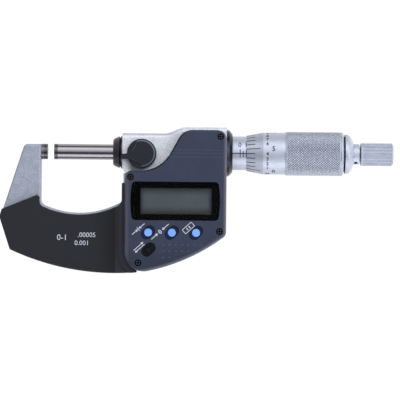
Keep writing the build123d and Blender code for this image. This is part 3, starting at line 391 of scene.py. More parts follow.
def lined_cover(name, base, roughness, levels):
    """Moulded cover with fine raised lines across its face at the given heights, lighter by a painted
    highlight, with painted highlights on its rounded edges and painted shade beside the hub and towards its
    lower left.
    """
    plastic = moulded(name, base, roughness)
    x, y, z = coordinates(plastic)
    half_line = 0.07 * MM
    # Painted highlight along the raised lines
    lines = joined(
        plastic,
        "MULTIPLY",
        joined(plastic, "ADD", *(math_node(plastic, "COMPARE", y, level * MM, half_line) for level in levels)),
        math_node(plastic, "GREATER_THAN", z, 13.9 * MM),
        math_node(plastic, "GREATER_THAN", x, 47.0 * MM),
    )

    # Painted highlight on the rounded edges: along the lower arc and the right side, fainter on the left
    low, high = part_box("front_cover")
    centre_x, centre_y, radius = LOWER_EDGE
    band, rim = 1.4 * MM, 0.3 * MM
    lower = remap(plastic, from_spot(plastic, centre_x, centre_y), radius - band, radius - rim)
    outer = remap(plastic, x, high.x - band, high.x - rim)
    inner = remap(plastic, x, low.x + 2.0 * MM, low.x + rim, 0.0, 0.4)
    edges = joined(plastic, "MAXIMUM", lower, outer, inner)
    edge_highlight = joined(plastic, "MULTIPLY", edges, ramp(plastic, z, 12.8, 13.5))
    # Painted shade on the rounding beside the hub, in the colour and in a weaker specular
    rounding = ramp(plastic, z, 13.998, 13.95)
    hub_side_shade = joined(plastic, "MULTIPLY", rounding, ramp(plastic, y, -8.6, -7.2), ramp(plastic, x, 57, 56))
    paint_over(
        plastic,
        # Painted shade, darker towards the lower left
        (ramp(plastic, y, -37, -45, 0.0, 0.5), shade(base, 0.5)),
        (edge_highlight, (0.135, 0.13, 0.15)),
        (hub_side_shade, shade(base, 0.15)),
        (math_node(plastic, "GREATER_THAN", z, 14.004 * MM), shade(base, 2.2)),
        (lines, shade(base, 1.9)),
    )
    plug(plastic, math_node(plastic, "MULTIPLY_ADD", hub_side_shade, -0.35, 0.4), "Specular IOR Level")
    plug(plastic, bump(plastic, lines, 0.02, 0.6, feeding(plastic, "Normal")), "Normal")
    return plastic


def display_glass(name, base, roughness):
    """Unlit display: painted shade towards its borders, and the faintest mottling."""
    panel = principled(name, base, roughness)
    borders = [
        remap(panel, apart(panel, value, middle), size / 2 - fall, size / 2, 1.0, 0.0)
        for value, middle, size, fall in zip(coordinates(panel), VIEW_MIDDLE, VIEW_SIZE, (1.8 * MM, 3.2 * MM))
    ]
    factor = joined(panel, "MULTIPLY", *borders, spread(panel, noise(panel, 9.0, 1.0), 0.9, 1.0))
    plug(panel, tint(panel, factor, shade(base, 0.22), shade(base, 1.1)), "Base Color")
    return panel


def standing(name):
    """Centres, seen from the front, of the separate pins of a CAD node."""
    pin_reach = 3 * MM
    groups = []
    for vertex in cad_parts[name].data.vertices:
        at = Vector(vertex.co[:2])
        for group in groups:
            if (group[0] - at).length < pin_reach:
                group.append(at)
                break
        else:
            groups.append([at])
    return [
        [(min(at[i] for at in group) + max(at[i] for at in group)) / 2 for i in range(2)] for group in groups
    ]


def worn_print(name, base):
    """Printed or filled paint whose colour is slightly uneven."""
    paint = principled(name, base, 0.6)
    fine = noise(paint, 0.25, 2.0)
    mottle(paint, base, fine, 0.85, 1.1)
    plug(paint, spread(paint, fine, 0.5, 0.7), "Roughness")
    return paint


def dress(material, *nodes):
    """Gives CAD nodes a material."""
    for name in nodes:
        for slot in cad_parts[name].material_slots:
            slot.material = material


# Geometry


def keep(bm, name, material, body, sharp=30):
    """Makes a piece of a bmesh: faces outwards, smooth shading, sharp only at true edges."""
    bmesh.ops.remove_doubles(bm, verts=bm.verts, dist=1e-7)
    bmesh.ops.recalc_face_normals(bm, faces=bm.faces)
    for face in bm.faces:
        face.smooth = True
    mesh = bpy.data.meshes.new(name)
    bm.to_mesh(mesh)
    bm.free()
    mesh.set_sharp_from_angle(angle=math.radians(sharp))
    mesh.materials.append(material)
    piece = bpy.data.objects.new(name, mesh)
    bpy.context.scene.collection.objects.link(piece)
    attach(piece, body)
    return piece


def lathe(bm, profile, steps):
    """Turns (x, radius, corner radius) points in millimetres about the spindle axis."""
    corners = [bm.verts.new((x * MM, 0, radius * MM)) for x, radius, _ in profile]
    for first, second in zip(corners, corners[1:] + corners[:1]):
        bm.edges.new((first, second))
    for vertex, (_, _, rounding) in zip(corners, profile):
        if rounding:
            bmesh.ops.bevel(
                bm,
                geom=[vertex],
                offset=rounding * MM,
                offset_type="OFFSET",
                segments=3,
                profile=0.5,
                affect="VERTICES",
                material=-1,
            )
    bmesh.ops.spin(
        bm,
        geom=bm.verts[:] + bm.edges[:],
        cent=(0, 0, 0),
        axis=(1, 0, 0),
        angle=2 * math.pi,
        steps=steps,
        use_merge=True,
    )


def bar(bm, centre, size, turn=None):
    """Box of a size about a centre, in metres, turned first by a matrix."""
    matrix = Matrix.Translation(centre) @ (turn or Matrix()) @ Matrix.Diagonal((*size, 1))
    return bmesh.ops.create_cube(bm, size=1, matrix=matrix)["verts"]


def added(bm, known):
    """Vertices of a bmesh that weren't known before."""
    return [v for v in bm.verts if v not in known]


def letters(bm, words, height, thickness, weight=0.0):
    """Adds flat text of a numeral height in metres, centred on the origin, and returns its vertices."""
    curve = bpy.data.curves.new("letters", "FONT")
    curve.body = words
    curve.size = height / NUMERAL_SHARE
    curve.align_x = "CENTER"
    curve.align_y = "CENTER"
    curve.extrude = thickness / 2
    curve.offset = weight
    curve.resolution_u = 4
    holder = bpy.data.objects.new("letters", curve)
    bpy.context.scene.collection.objects.link(holder)
    bpy.context.view_layer.update()
    mesh = bpy.data.meshes.new_from_object(holder.evaluated_get(bpy.context.evaluated_depsgraph_get()))
    known = set(bm.verts)
    bm.from_mesh(mesh)
    new = added(bm, known)
    highest, lowest = (Vector([pick(v.co[i] for v in new) for i in range(3)]) for pick in (max, min))
    bmesh.ops.translate(bm, verts=new, vec=-(highest + lowest) / 2)
    bpy.data.objects.remove(holder)
    bpy.data.curves.remove(curve)
    bpy.data.meshes.remove(mesh)
    return new


def wrap(bm, vertices, radius, angle, along):
    """Rolls flat vertices on a cylinder about the spindle axis, at an angle up from its front."""
    inside = set(vertices)
    edges = [e for e in bm.edges if e.verts[0] in inside]
    faces = [f for f in bm.faces if f.verts[0] in inside]
    step = 0.2 * MM
    top = max(v.co.y for v in vertices)
    count = int(top / step)
    for index in range(-count, count + 1):
        geometry = list(inside) + edges + faces
        cut = bmesh.ops.bisect_plane(
            bm, geom=geometry, dist=1e-8, plane_co=(0, index * step, 0), plane_no=(0, 1, 0)
        )["geom"]
        inside = {g for g in cut if isinstance(g, bmesh.types.BMVert)}
        edges = [g for g in cut if isinstance(g, bmesh.types.BMEdge)]
        faces = [g for g in cut if isinstance(g, bmesh.types.BMFace)]
    for vertex in inside:
        height = radius + vertex.co.z
        turn = vertex.co.y / radius + angle
        vertex.co = (vertex.co.x + along, height * math.sin(turn), height * math.cos(turn))


def flat_print(name, body, material, level, strokes):
    """Print on a flat face: each stroke adds its vertices to a bmesh, and they are lifted to the level."""
    bm = bmesh.new()
    for stroke, matrix in strokes:
        known = set(bm.verts)
        stroke(bm)
        bmesh.ops.transform(bm, matrix=matrix, verts=added(bm, known))
    bmesh.ops.translate(bm, verts=bm.verts, vec=(0, 0, level))
    return keep(bm, name, material, body)


# Operators


def pale_floor(middle, half_field):
    """White floor that fades to grey outside the camera's field."""
    floor = principled("pale_floor", (0.02, 0.02, 0.02), 0.9, Emission_Color=(1, 1, 1, 1))
    centre = (middle.x, middle.y - half_field / 2)
    sides = [
        math_node(floor, "POWER", apart(floor, value, at), 4) for value, at in zip(coordinates(floor), centre)
    ]
    out = math_node(floor, "POWER", joined(floor, "ADD", *sides), 1 / 4)
    plug(floor, remap(floor, out, half_field * 1.56, half_field * 3.2, 1.0, 0.11), "Emission Strength")
    return floor


def softbox(context, name, power, spot, size, away):
    """Adds a rectangular lamp at spot that shines against the direction away and that no camera sees."""
    light = bpy.data.lights.new(name, "AREA")
    light.shape = "RECTANGLE"
    light.size, light.size_y = size
    light.energy = power
    light.color = context.scene.micrometer_stage.lamp
    lamp = bpy.data.objects.new(name, light)
    lamp.location = spot
    lamp.rotation_euler = (-away).to_track_quat("-Z", "Y").to_euler()
    lamp.visible_camera = False
    context.scene.collection.objects.link(lamp)


class MICROMETER_OT_stage(bpy.types.Operator):
    """Adds the pale floor, an arc of lamps and the camera over the display side"""

    bl_idname = "micrometer.stage"
    bl_label = "Stage"

    def execute(self, context):
        stage = context.scene.micrometer_stage
        low, high = cad_box
        middle = (low + high) / 2
        bm = bmesh.new()
        bmesh.ops.create_grid(bm, x_segments=1, y_segments=1, size=3.0)
        floor_gap = 0.05 * MM
        bmesh.ops.translate(bm, verts=bm.verts, vec=(middle.x, middle.y, low.z - floor_gap))
        mesh = bpy.data.meshes.new("floor")
        bm.to_mesh(mesh)
        bm.free()
        mesh.materials.append(pale_floor(middle, stage.field / 2))
        floor = bpy.data.objects.new("floor", mesh)
        context.scene.collection.objects.link(floor)

        world = bpy.data.worlds.new("studio")
        world.use_nodes = True
        sky = world.node_tree.nodes["Background"]
        sky.inputs["Color"].default_value = (0.97, 0.98, 1.0, 1.0)
        sky.inputs["Strength"].default_value = stage.sky
        context.scene.world = world

        # Lamps on an arc over the spindle: degrees from straight up, width in degrees, share of the radiance
        arc = (
            (66, 16, 0.36),
            (50, 16, 0.78),
            (34, 16, 0.62),
            (18, 16, 0.42),
            (3, 14, 0.22),
            (-47, 18, 0.5),
            (-64, 17, 0.8),
            (-80, 14, 0.5),
        )
        for index, (angle, spread, share) in enumerate(arc):
            turn = math.radians(angle)
            spot = Vector((0.0, math.sin(turn), math.cos(turn))) * stage.reach
            width = 2 * stage.reach * math.tan(math.radians(spread / 2))
            power = share * stage.arc * math.pi * ARC_LENGTH * width
            softbox(context, f"arc_lamp_{index}", power, spot + Vector((0.5, 0, 0)), (ARC_LENGTH, width), spot)
        spot = Vector((1.0, 0.0, 0.6))
        softbox(context, "right_softbox", stage.side, spot, (0.9, 0.7), spot)

        lens = bpy.data.cameras.new("camera")
        sensor = 36.0
        lens.sensor_width = sensor
        lens.lens = sensor * stage.distance / stage.field
        lens.clip_end = 20.0
        camera = bpy.data.objects.new("camera", lens)
        camera.location = (62.5 * MM, -19.3 * MM, stage.distance)
        camera.rotation_euler = (0, 0, stage.roll)
        context.scene.collection.objects.link(camera)
        context.scene.camera = camera
        context.scene.view_settings.view_transform = "Standard"
        return {"FINISHED"}


class MICROMETER_OT_frame(bpy.types.Operator):
    """Coats the C-frame in hammered silver paint"""

    bl_idname = "micrometer.frame"
    bl_label = "Frame"

    def execute(self, context):
        dress(coated_metal("hammered_silver", finishes().coat, finishes().thin_coat), "frame")
        return {"FINISHED"}


class MICROMETER_OT_plates(bpy.types.Operator):
    """Finishes the insulating plates and prints plain range numbers on the front one"""

    bl_idname = "micrometer.plates"
    bl_label = "Insulating plates"

    def execute(self, context):
        base = finishes().plate
        plates = moulded("plate_moulding", base, 0.5, 0.22, 0.02)
        along = coordinates(plates)[0]
        # Painted shade before the raised lip and a painted highlight on the lip
        valley_shade, lip = ramp(plates, along, 20, 27), ramp(plates, along, 27.9, 28.5)
        paint_over(plates, (valley_shade, shade(base, 0.2)), (lip, shade(base, 2.6)))
        dress(plates, "front_plate", "rear_plate")

        face = 6.1 * MM
        white = worn_print("plate_print", finishes().print_white)
        prints = (("0-1", 2.3, (6.1, -35.0)), (".00005", 1.9, (16.4, -33.9)), ("0.001", 1.9, (14.2, -37.2)))
        strokes = [
            (
                lambda bm, words=words, height=height: letters(bm, words, height * MM, PRINT_THICKNESS),
                Matrix.Translation((x * MM, y * MM, 0)),
            )
            for words, height, (x, y) in prints
        ]
        flat_print("plate_numbers", "root", white, face, strokes)
        return {"FINISHED"}


class MICROMETER_OT_spindle(bpy.types.Operator):
    """Finishes the ground spindle, anvil and their hard tips"""

    bl_idname = "micrometer.spindle"
    bl_label = "Spindle and anvil"

    def execute(self, context):
        ground = turned_metal("ground_steel", finishes().ground, 0.17, 0.05, 0.0003, 0.03)
        dress(ground, "spindle", "ratchet_screw", "inner_sleeve", "adjusting_nut")
        dress(turned_metal("dark_anvil", shade(finishes().ground, 0.6), 0.34, 0.05, 0.0006), "anvil")
        dress(plain_metal("hard_metal", (0.1, 0.1, 0.11), 0.28, 0.1), "anvil_tip", "spindle_tip")
        return {"FINISHED"}


class MICROMETER_OT_hub(bpy.types.Operator):
    """Finishes the seal cap, collar and clamp lever on the hub"""

    bl_idname = "micrometer.hub"
    bl_label = "Seal cap, collar and clamp"

    def execute(self, context):
        cap = turned_metal("black_cap", (0.095, 0.088, 0.1), 0.42, 0.06, 0.002)
        # Painted shade in the groove round the seal cap
        groove, half_groove = 29.72 * MM, 0.33 * MM
        soiled(cap, math_node(cap, "COMPARE", axis_distance(cap)[0], groove, half_groove))
        dress(cap, "seal_cap")
        dress(turned_metal("black_collar", (0.036, 0.039, 0.049), 0.25, 0.06, 0.001), "sleeve_collar")

        lever = moulded("lever_moulding", finishes().lever, 0.26, 0.14, 0.003, shine=0.5)
        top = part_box("clamp_lever")[1].z
        pivot = middle_of("clamp_shaft")
        ring_radius = 5.15 * MM
        x, _, z = coordinates(lever)
        # Painted highlight on the rounded top edge of the lever and on a ring on its right side
        edge = remap(lever, z, top - 0.04 * MM, top - 0.16 * MM)
        side = remap(lever, z, top - 0.7 * MM, top - 0.45 * MM)
        off_ring = apart(lever, from_spot(lever, pivot.x, pivot.y), ring_radius)
        right = remap(lever, x, pivot.x - 3 * MM, pivot.x)
        ring = joined(lever, "MULTIPLY", ramp(lever, off_ring, 0.1, 0.3, 1.0, 0.0), right)
        edge_highlight = joined(lever, "MAXIMUM", joined(lever, "MULTIPLY", edge, side), ring)
        paint_over(lever, (edge_highlight, (0.12, 0.12, 0.16)))
        dress(lever, "clamp_lever")
        dress(plain_metal("machined_steel", (0.4, 0.4, 0.4), 0.3), "clamp_shaft", "rotor_key")
        return {"FINISHED"}


class MICROMETER_OT_sleeve(bpy.types.Operator):
    """Finishes the sleeve and adds its index line, graduations and numerals"""

    bl_idname = "micrometer.sleeve"
    bl_label = "Graduated sleeve"

    def execute(self, context):
        marks = context.scene.micrometer_marks
        dress(turned_metal("satin_sleeve", finishes().satin, 0.52), "scale_sleeve")
        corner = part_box("scale_sleeve")[1]
        start, end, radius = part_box("sleeve_collar")[1].x, corner.x - 0.4 * MM, corner.z
        zero, tenth = 78.7 * MM, 2.54 * MM
        thick = 2 * marks.lift
        bm = bmesh.new()
        bar(bm, ((start + end) / 2, -marks.drop, radius), (end - start, marks.index_width, thick))
        turn = -marks.drop / radius
        for count in range(41):
            if count % 4 == 0:
                low, high = -1.75, 1.75
            elif count % 2 == 0:
                low, high = -1.6, 0.95
            else:
                low, high = -1.6, -0.1
            verts = bar(bm, (0, (low + high) / 2 * MM, 0), (marks.line_width, (high - low) * MM, thick))
            wrap(bm, verts, radius, turn, zero + count * tenth / 4)
        numeral_turn, numeral_shift = 0.545, 0.15 * MM
        for count in range(11):
            verts = letters(bm, str(count % 10), marks.sleeve_digit, thick, marks.weight * 0.6)
            bmesh.ops.scale(bm, verts=verts, vec=(0.85, 1, 1))
            wrap(bm, verts, radius, numeral_turn + turn, zero + count * tenth - numeral_shift)
        paint = worn_print("black_engraving", finishes().ink)
        keep(bm, "sleeve_graduations", paint, "root")
        return {"FINISHED"}


class MICROMETER_OT_thimble(bpy.types.Operator):
    """Turns the thimble with its recessed band, diamond knurl, graduations and numerals"""

    bl_idname = "micrometer.thimble"
    bl_label = "Thimble"

    def execute(self, context):
        marks = context.scene.micrometer_marks
        knurl = context.scene.micrometer_knurl
        low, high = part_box("thimble")
        edge, end, full = low.x / MM, high.x / MM, high.z / MM
        # Radii of the bore, the bevel's edge, the barrel, the stud's hole and the tapered seat
        bore, lip, barrel, stud, seat = 6.98, 7.2, 8.55, 3.41, 4.21
        bevel = 6.7
        band = 97.3
        root = full - knurl.depth / MM
        satin = turned_metal("satin_thimble", finishes().satin, 0.56)
        # Painted shade on the tapered bevel
        taper_shade = ramp(satin, axis_distance(satin)[0], edge + 6.5, edge + 7.0, 1.0, 0.0)
        paint_over(satin, (taper_shade, shade(finishes().satin, 0.84)))
        bm = bmesh.new()
        lathe(
            bm,
            (
                (edge, bore, 0),
                (edge, lip, 0.04),
                (edge + bevel, barrel, 0),
                (band - 0.05, barrel, 0),
                (band, full - 0.15, 0.05),
                (band + 0.08, full - 0.02, 0.02),
                (band + 0.2, root, 0),
                (end - 1.2, root, 0),
                (end - 1.05, full - 0.02, 0.05),
                (end - 0.6, full - 0.02, 0.1),
                (end, full - 0.62, 0.1),
                (end, stud, 0),
                (end - 1.5, stud, 0),
                (end - 7.0, seat, 0),
                (end - 8.0, seat, 0),
                (end - 8.0, bore, 0),
            ),
            144,
        )
        thimble = keep(bm, "satin_thimble", satin, "spindle_unit", 10)
        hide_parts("thimble")

        diamonds = turned_metal("knurled_steel", shade(finishes().satin, 1.22), 0.45)
        # Painted shade in the valleys between the diamonds
        valley_shade = ramp(diamonds, axis_distance(diamonds)[1], root, full, 1.0, 0.0)
        paint_over(diamonds, (valley_shade, shade(finishes().satin, 0.5)))
        bm = bmesh.new()
        half_turn = math.pi / knurl.count
        foot = full * MM - knurl.depth
        across = half_turn * foot
        first_row = (band + 0.2) * MM + knurl.row_pitch / 2
        room = (end - 1.2) * MM - knurl.row_pitch / 2 - first_row
        rows = int(room / (knurl.row_pitch / 2)) + 1
        row_step = room / (rows - 1)
        for row in range(2):
            matrix = (
                Matrix.Rotation(row * half_turn, 4, "X")
                @ Matrix.Translation((first_row + row * row_step, 0, foot + knurl.depth / 2))
                @ Matrix.Diagonal((row_step / across, 1, 1, 1))
            )
            new = bmesh.ops.create_cone(
                bm,
                segments=4,
                radius1=across,
                radius2=across * 0.2,
                depth=knurl.depth,
                cap_ends=True,
                matrix=matrix,
            )["verts"]
            geometry = set(new)
            for vertex in new:
                geometry.update(vertex.link_edges)
                geometry.update(vertex.link_faces)
            bmesh.ops.spin(
                bm,
                geom=list(geometry),
                cent=(0, 0, 0),
                axis=(1, 0, 0),
                angle=2 * math.pi * (knurl.count - 1) / knurl.count,
                steps=knurl.count - 1,
                use_duplicate=True,
            )
        pair = bm.verts[:] + bm.edges[:] + bm.faces[:]
        for index in range(1, (rows + 1) // 2):
            copied = bmesh.ops.duplicate(bm, geom=pair)["geom"]
            moved = [g for g in copied if isinstance(g, bmesh.types.BMVert)]
            bmesh.ops.translate(bm, verts=moved, vec=(2 * index * row_step, 0, 0))
        keep(bm, "thimble_knurl", diamonds, "spindle_unit", 20)

        bm = bmesh.new()
        slope = math.atan2(barrel - lip, bevel)
        tilt = Matrix.Rotation(-slope, 4, "Y")
        turn = 2 * math.pi / marks.divisions
        thick = 2 * marks.lift
        inset = 0.05
        bevel_middle = 7.9 * MM
        # Division that stands at the index line
        shown = 4
        for count in range(marks.divisions):
            if count % 5 == 0:
                reach, size, along, weight = 5.6, marks.big_digit, 11.0, marks.weight
            else:
                reach, size, along, weight = 3.45, marks.small_digit, 8.5, marks.weight * 1.4
            way = inset + reach / 2
            middle = Vector((edge + way, 0, lip + way * math.tan(slope))) * MM
            verts = bar(bm, middle, (reach * MM / math.cos(slope), marks.line_width, thick), tilt)
            angle = (count - shown) * turn - marks.drop / bevel_middle
            bmesh.ops.rotate(bm, verts=verts, cent=(0, 0, 0), matrix=Matrix.Rotation(-angle, 3, "X"))
            verts = letters(bm, str(count), size, thick, weight)
            wrap(bm, verts, barrel * MM, angle, (edge + along) * MM)
        paint = bpy.data.materials["black_engraving"]
        keep(bm, "thimble_graduations", paint, "spindle_unit")
        return {"FINISHED"}


class MICROMETER_OT_ratchet(bpy.types.Operator):
    """Finishes the end cap and the fluted ratchet knob"""

    bl_idname = "micrometer.ratchet"
    bl_label = "End cap and ratchet"

    def execute(self, context):
        cap = turned_metal("satin_cap", finishes().satin, 0.58)
        along, out = axis_distance(cap)
        # Painted highlight on the dome of the end cap
        dome_highlight, neck = ramp(cap, along, 122.3, 125.4), ramp(cap, along, 124.9, 125.1, 1.0, 0.0)
        paint_over(cap, (joined(cap, "MULTIPLY", dome_highlight, neck), shade(finishes().satin, 1.5)))
        groove_end, bore_radius = 121.7 * MM, 4.12 * MM
        pit_x, pit_radius, pit_angle = 126.1 * MM, 0.74 * MM, math.radians(58)
        turned = node(
            cap,
            "ShaderNodeVectorRotate",
            {"Vector": place(cap), "Angle": -pit_angle},
            rotation_type="X_AXIS",
        ).outputs[0]
        # Painted shade in the spanner hole, the groove and the bore
        hollows = (
            math_node(cap, "LESS_THAN", from_spot(cap, pit_x, 0, turned), pit_radius),
            math_node(cap, "LESS_THAN", along, groove_end),
            math_node(cap, "LESS_THAN", out, bore_radius),
        )
        soiled(cap, joined(cap, "MAXIMUM", *hollows))
        dress(cap, "thimble_end_cap")
        dress(turned_metal("satin_knob", shade(finishes().satin, 0.95), 0.68), "ratchet_knob")
        dress(plain_metal("spring_steel", (0.36, 0.36, 0.37), 0.25), "ratchet_springs", "battery_contact")
        return {"FINISHED"}


class MICROMETER_OT_cover(bpy.types.Operator):
    """Finishes the moulded cover, its fine lines and its field of small pips"""

    bl_idname = "micrometer.cover"
    bl_label = "Front cover"

    def execute(self, context):
        slate = lined_cover("slate_moulding", finishes().cover, 0.42, (0.95, -0.3, -1.95))
        dress(slate, "front_cover")
        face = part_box("front_cover")[1].z
        first_x, first_y, pitch = 47.8 * MM, -37.6 * MM, 2.55 * MM
        flattened = Matrix.Diagonal((1, 1, 0.12, 1))
        bm = bmesh.new()
        for row, count in enumerate((7, 5, 2)):
            for index in range(count):
                spot = (first_x + index * pitch, first_y - row * pitch, face)
                matrix = Matrix.Translation(spot) @ flattened
                bmesh.ops.create_icosphere(bm, subdivisions=2, radius=0.3 * MM, matrix=matrix)
        keep(bm, "cover_pips", slate, "root", 60)
        return {"FINISHED"}


class MICROMETER_OT_display(bpy.types.Operator):
    """Finishes the window, its black mask and the unlit display"""

    bl_idname = "micrometer.display"
    bl_label = "Display"

    def execute(self, context):
        pane = principled("clear_pane", (0.02, 0.02, 0.022), 0.05, Alpha=0.1, Specular_IOR_Level=0.4)
        wiped = noise(pane, 7.0, 4.0)
        plug(pane, remap(pane, wiped, 0.35, 0.7, 0.03, 0.12), "Roughness")
        plug(pane, remap(pane, wiped, 0.35, 0.7, 0.04, 0.06), "Alpha")
        dress(pane, "display_window")
        mask = moulded("mask_gloss", (0.0012, 0.0011, 0.0015), 0.4, 0.1, 0.001, shine=0.04)
        dress(mask, "window_mask")
        dress(display_glass("display_grey", finishes().display, 0.35), "lcd_panel")
        dress(moulded("white_moulding", (0.5, 0.5, 0.47), 0.5), "lcd_holder")
        return {"FINISHED"}


def arrow(bm, tip, facing, size):
    """Flat triangle whose tip points along X, to the right (1) or the left (-1)."""
    turn = Matrix.Rotation(0 if facing > 0 else math.pi, 4, "Z") @ Matrix.Rotation(-math.pi / 2, 4, "Z")
    bmesh.ops.create_cone(
        bm,
        segments=3,
        radius1=size * 0.62,
        radius2=size * 0.62,
        depth=0.02 * MM,
        cap_ends=True,
        matrix=Matrix.Translation((tip - facing * size / 2, 0, 0)) @ turn,
    )


class MICROMETER_OT_buttons(bpy.types.Operator):
    """Finishes the push buttons with a faint painted glow, their dark recesses in painted shade and their
    pictograms
    """

    bl_idname = "micrometer.buttons"
    bl_label = "Buttons"

    def execute(self, context):
        blue = moulded("button_blue", finishes().button, 0.4, 0.12, 0.003, 0.04)
        # Painted glow: the blue buttons give off a faint light of their own colour
        shader_of(blue).inputs["Emission Color"].default_value = (*finishes().button, 1)
        shader_of(blue).inputs["Emission Strength"].default_value = 0.15
        dress(blue, "set_button", "zero_button", "hold_button")
        dress(moulded("button_black", (0.004, 0.004, 0.005), 0.3, 0.1, 0.003, shine=0.25), "unit_button")
        # The rubber round the blue buttons, in painted shade
        dark = moulded("recess_blue", finishes().recess, 0.35, 0.12, 0.003, shine=0.25)
        black = moulded("recess_black", (0.003, 0.003, 0.004), 0.35, 0.12, 0.003, shine=0.2)
        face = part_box("front_cover")[1].z
        thick = PRINT_THICKNESS
        recess_depth, recess_radius, stretch = 0.58 * MM, 2.18 * MM, 1.0 * MM
        for name, material, hole in (
            ("set_button", dark, 1.69),
            ("zero_button", dark, 1.69),
            ("hold_button", dark, 1.69),
            ("unit_button", black, 1.34),
        ):
            centre = middle_of(name)
            bm = bmesh.new()
            outer = bmesh.ops.create_circle(bm, segments=48, radius=recess_radius)["verts"]
            for vertex in outer:
                vertex.co.x += math.copysign(stretch, vertex.co.x) if abs(vertex.co.x) > 1e-9 else 0.0
            bmesh.ops.rotate(bm, verts=outer, cent=(0, 0, 0), matrix=Matrix.Rotation(math.pi / 4, 3, "Z"))
            bmesh.ops.create_circle(bm, segments=48, radius=hole * MM)
            bmesh.ops.bridge_loops(bm, edges=bm.edges[:])
            bmesh.ops.translate(bm, verts=bm.verts, vec=(centre.x, centre.y, face - recess_depth))
            keep(bm, name.replace("button", "recess"), material, "root")

        white = worn_print("cover_print", finishes().print_white)
        slant = Matrix.Rotation(math.radians(42), 4, "Z")
        stroke = 0.3 * MM

        def set_sign(bm):
            bar(bm, (0, 0, 0), (stroke, 1.8 * MM, thick))
            for side in (1, -1):
                arrow(bm, -side * 0.35 * MM, side, 1.15 * MM)
                bar(bm, (-side * 2.4 * MM, 0, 0), (1.9 * MM, stroke, thick))

        def zero_sign(bm):
            letters(bm, "0", 1.7 * MM, thick, 0.05 * MM)
            for side in (1, -1):
                arrow(bm, -side * 1.2 * MM, side, 1.15 * MM)
                bar(bm, (-side * 3.4 * MM, 0, 0), (2.6 * MM, stroke, thick))

        def hold_sign(bm):
            for side in (1, -1):
                bar(bm, (side * 0.6 * MM, 0, 0), (0.42 * MM, 1.15 * MM, thick))
                bar(bm, (0, side * 1.05 * MM, 0), (5.0 * MM, 0.26 * MM, thick))
                bar(bm, (side * 2.4 * MM, 0, 0), (0.26 * MM, 1.9 * MM, thick))

        def unit_sign(bm):
            for side in (1, -1):
                known = set(bm.verts)
                arrow(bm, side * 2.6 * MM, side, 1.1 * MM)
                bar(bm, (-side * 0.4 * MM, 0, 0), (4.2 * MM, stroke, thick))
                bmesh.ops.translate(bm, verts=added(bm, known), vec=(0, side * 0.5 * MM, 0))

        signs = (
            (set_sign, (37.6, -31.3)),
            (zero_sign, (46.4, -32.3)),
            (hold_sign, (57.9, -30.7)),
            (unit_sign, (38.0, -38.7)),
        )
        strokes = [(sign, Matrix.Translation((x * MM, y * MM, 0)) @ slant) for sign, (x, y) in signs]
        flat_print("button_signs", "root", white, face, strokes)
        return {"FINISHED"}


class MICROMETER_OT_screws(bpy.types.Operator):
    """Finishes the screws in black oxide"""

    bl_idname = "micrometer.screws"
    bl_label = "Screws"

    def execute(self, context):
        black = plain_metal("black_oxide", (0.05, 0.05, 0.05), 0.4, 0.15, 0.8)
        dress(black, "data_port_screws", "ratchet_click")
        ring_radius, half_ring, skin = 0.64 * MM, 0.2 * MM, 0.04 * MM
        for name in ("front_cover_screws", "rear_case_screws"):
            heads = plain_metal("oxide_" + name, (0.07, 0.07, 0.075), 0.45, 0.15, 0.6)
            # Painted shade in each head's socket, in the gap round its rim and on the head below its top face
            nearest = joined(heads, "MINIMUM", *(from_spot(heads, *spot) for spot in standing(name)))
            low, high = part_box(name)
            off_middle = apart(heads, coordinates(heads)[2], middle_of(name).z)
            sunk = math_node(heads, "LESS_THAN", off_middle, (high.z - low.z) / 2 - skin)
            ring = math_node(heads, "COMPARE", nearest, ring_radius, half_ring)
            soiled(heads, joined(heads, "MAXIMUM", sunk, math_node(heads, "SUBTRACT", 1.0, ring)))
            dress(heads, name)
        return {"FINISHED"}


class MICROMETER_OT_rear_case(bpy.types.Operator):
    """Finishes the rear case, battery cap and data port cap"""

    bl_idname = "micrometer.rear_case"
    bl_label = "Rear case"

    def execute(self, context):
        dress(moulded("rear_moulding", finishes().rear, 0.5, 0.2, 0.012), "rear_case")
        caps = moulded("cap_moulding", shade(finishes().rear, 1.5), 0.42, 0.2, 0.008)
        dress(caps, "battery_cap", "data_port_cap")
        return {"FINISHED"}


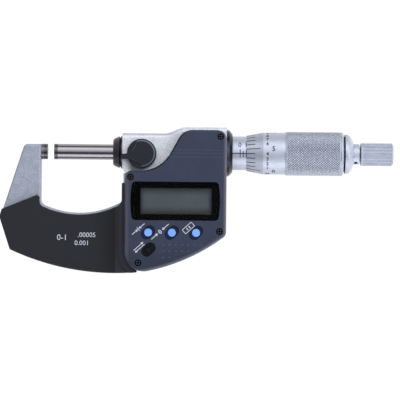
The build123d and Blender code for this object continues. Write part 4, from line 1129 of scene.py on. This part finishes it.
class MICROMETER_OT_inner_pieces(bpy.types.Operator):
    """Finishes what lies inside: seals, bush, encoder, board and battery"""

    bl_idname = "micrometer.inner_pieces"
    bl_label = "Inner pieces"

    def execute(self, context):
        rubber = moulded("seal_rubber", (0.012, 0.012, 0.012), 0.7, 0.2, 0.01)
        dress(
            rubber,
            "spindle_seal",
            "cover_gasket",
            "rear_gasket",
            "elastomer_strips",
            "button_membrane",
            "battery_cap_seal",
        )
        dress(
            turned_metal("turned_brass", (0.48, 0.33, 0.13), 0.28),
            "spindle_bush",
            "clamp_pad",
            "rotor_retainer",
            "encoder_rotor",
        )
        dress(moulded("board_green", (0.015, 0.12, 0.05), 0.35), "circuit_board", "encoder_stator")
        dress(plain_metal("nickel_plate", (0.54, 0.53, 0.51), 0.18), "battery")
        dress(moulded("connector_black", (0.01, 0.01, 0.011), 0.4), "data_connector")
        return {"FINISHED"}


class MICROMETER_PT_dressing(bpy.types.Panel):
    """Lists the steps that dress the micrometer"""

    bl_idname = "MICROMETER_PT_dressing"
    bl_label = "Micrometer"
    bl_space_type = "VIEW_3D"
    bl_region_type = "UI"
    bl_category = "Micrometer"

    def draw(self, context):
        column = self.layout.column()
        for step in STEPS:
            column.operator(step.bl_idname)
        for name in SETTINGS:
            settings = getattr(context.scene, name)
            box = self.layout.box()
            for key in settings.bl_rna.properties.keys():
                if key not in ("rna_type", "name"):
                    box.prop(settings, key)


SETTINGS = {
    "micrometer_finishes": MicrometerFinishes,
    "micrometer_marks": MicrometerMarks,
    "micrometer_knurl": MicrometerKnurl,
    "micrometer_stage": MicrometerStage,
}
STEPS = (
    MICROMETER_OT_stage,
    MICROMETER_OT_frame,
    MICROMETER_OT_plates,
    MICROMETER_OT_spindle,
    MICROMETER_OT_hub,
    MICROMETER_OT_sleeve,
    MICROMETER_OT_thimble,
    MICROMETER_OT_ratchet,
    MICROMETER_OT_cover,
    MICROMETER_OT_display,
    MICROMETER_OT_buttons,
    MICROMETER_OT_screws,
    MICROMETER_OT_rear_case,
    MICROMETER_OT_inner_pieces,
)
CLASSES = (*SETTINGS.values(), *STEPS, MICROMETER_PT_dressing)


def register():
    """Registers the classes and their settings on the scene."""
    for cls in CLASSES:
        bpy.utils.register_class(cls)
    for name, group in SETTINGS.items():
        setattr(bpy.types.Scene, name, PointerProperty(type=group))


def unregister():
    """Takes back what register added."""
    for name in SETTINGS:
        delattr(bpy.types.Scene, name)
    for cls in reversed(CLASSES):
        bpy.utils.unregister_class(cls)


def main():
    register()
    for step in STEPS:
        group, name = step.bl_idname.split(".")
        getattr(getattr(bpy.ops, group), name)()


if __name__ == "__main__":
    main()
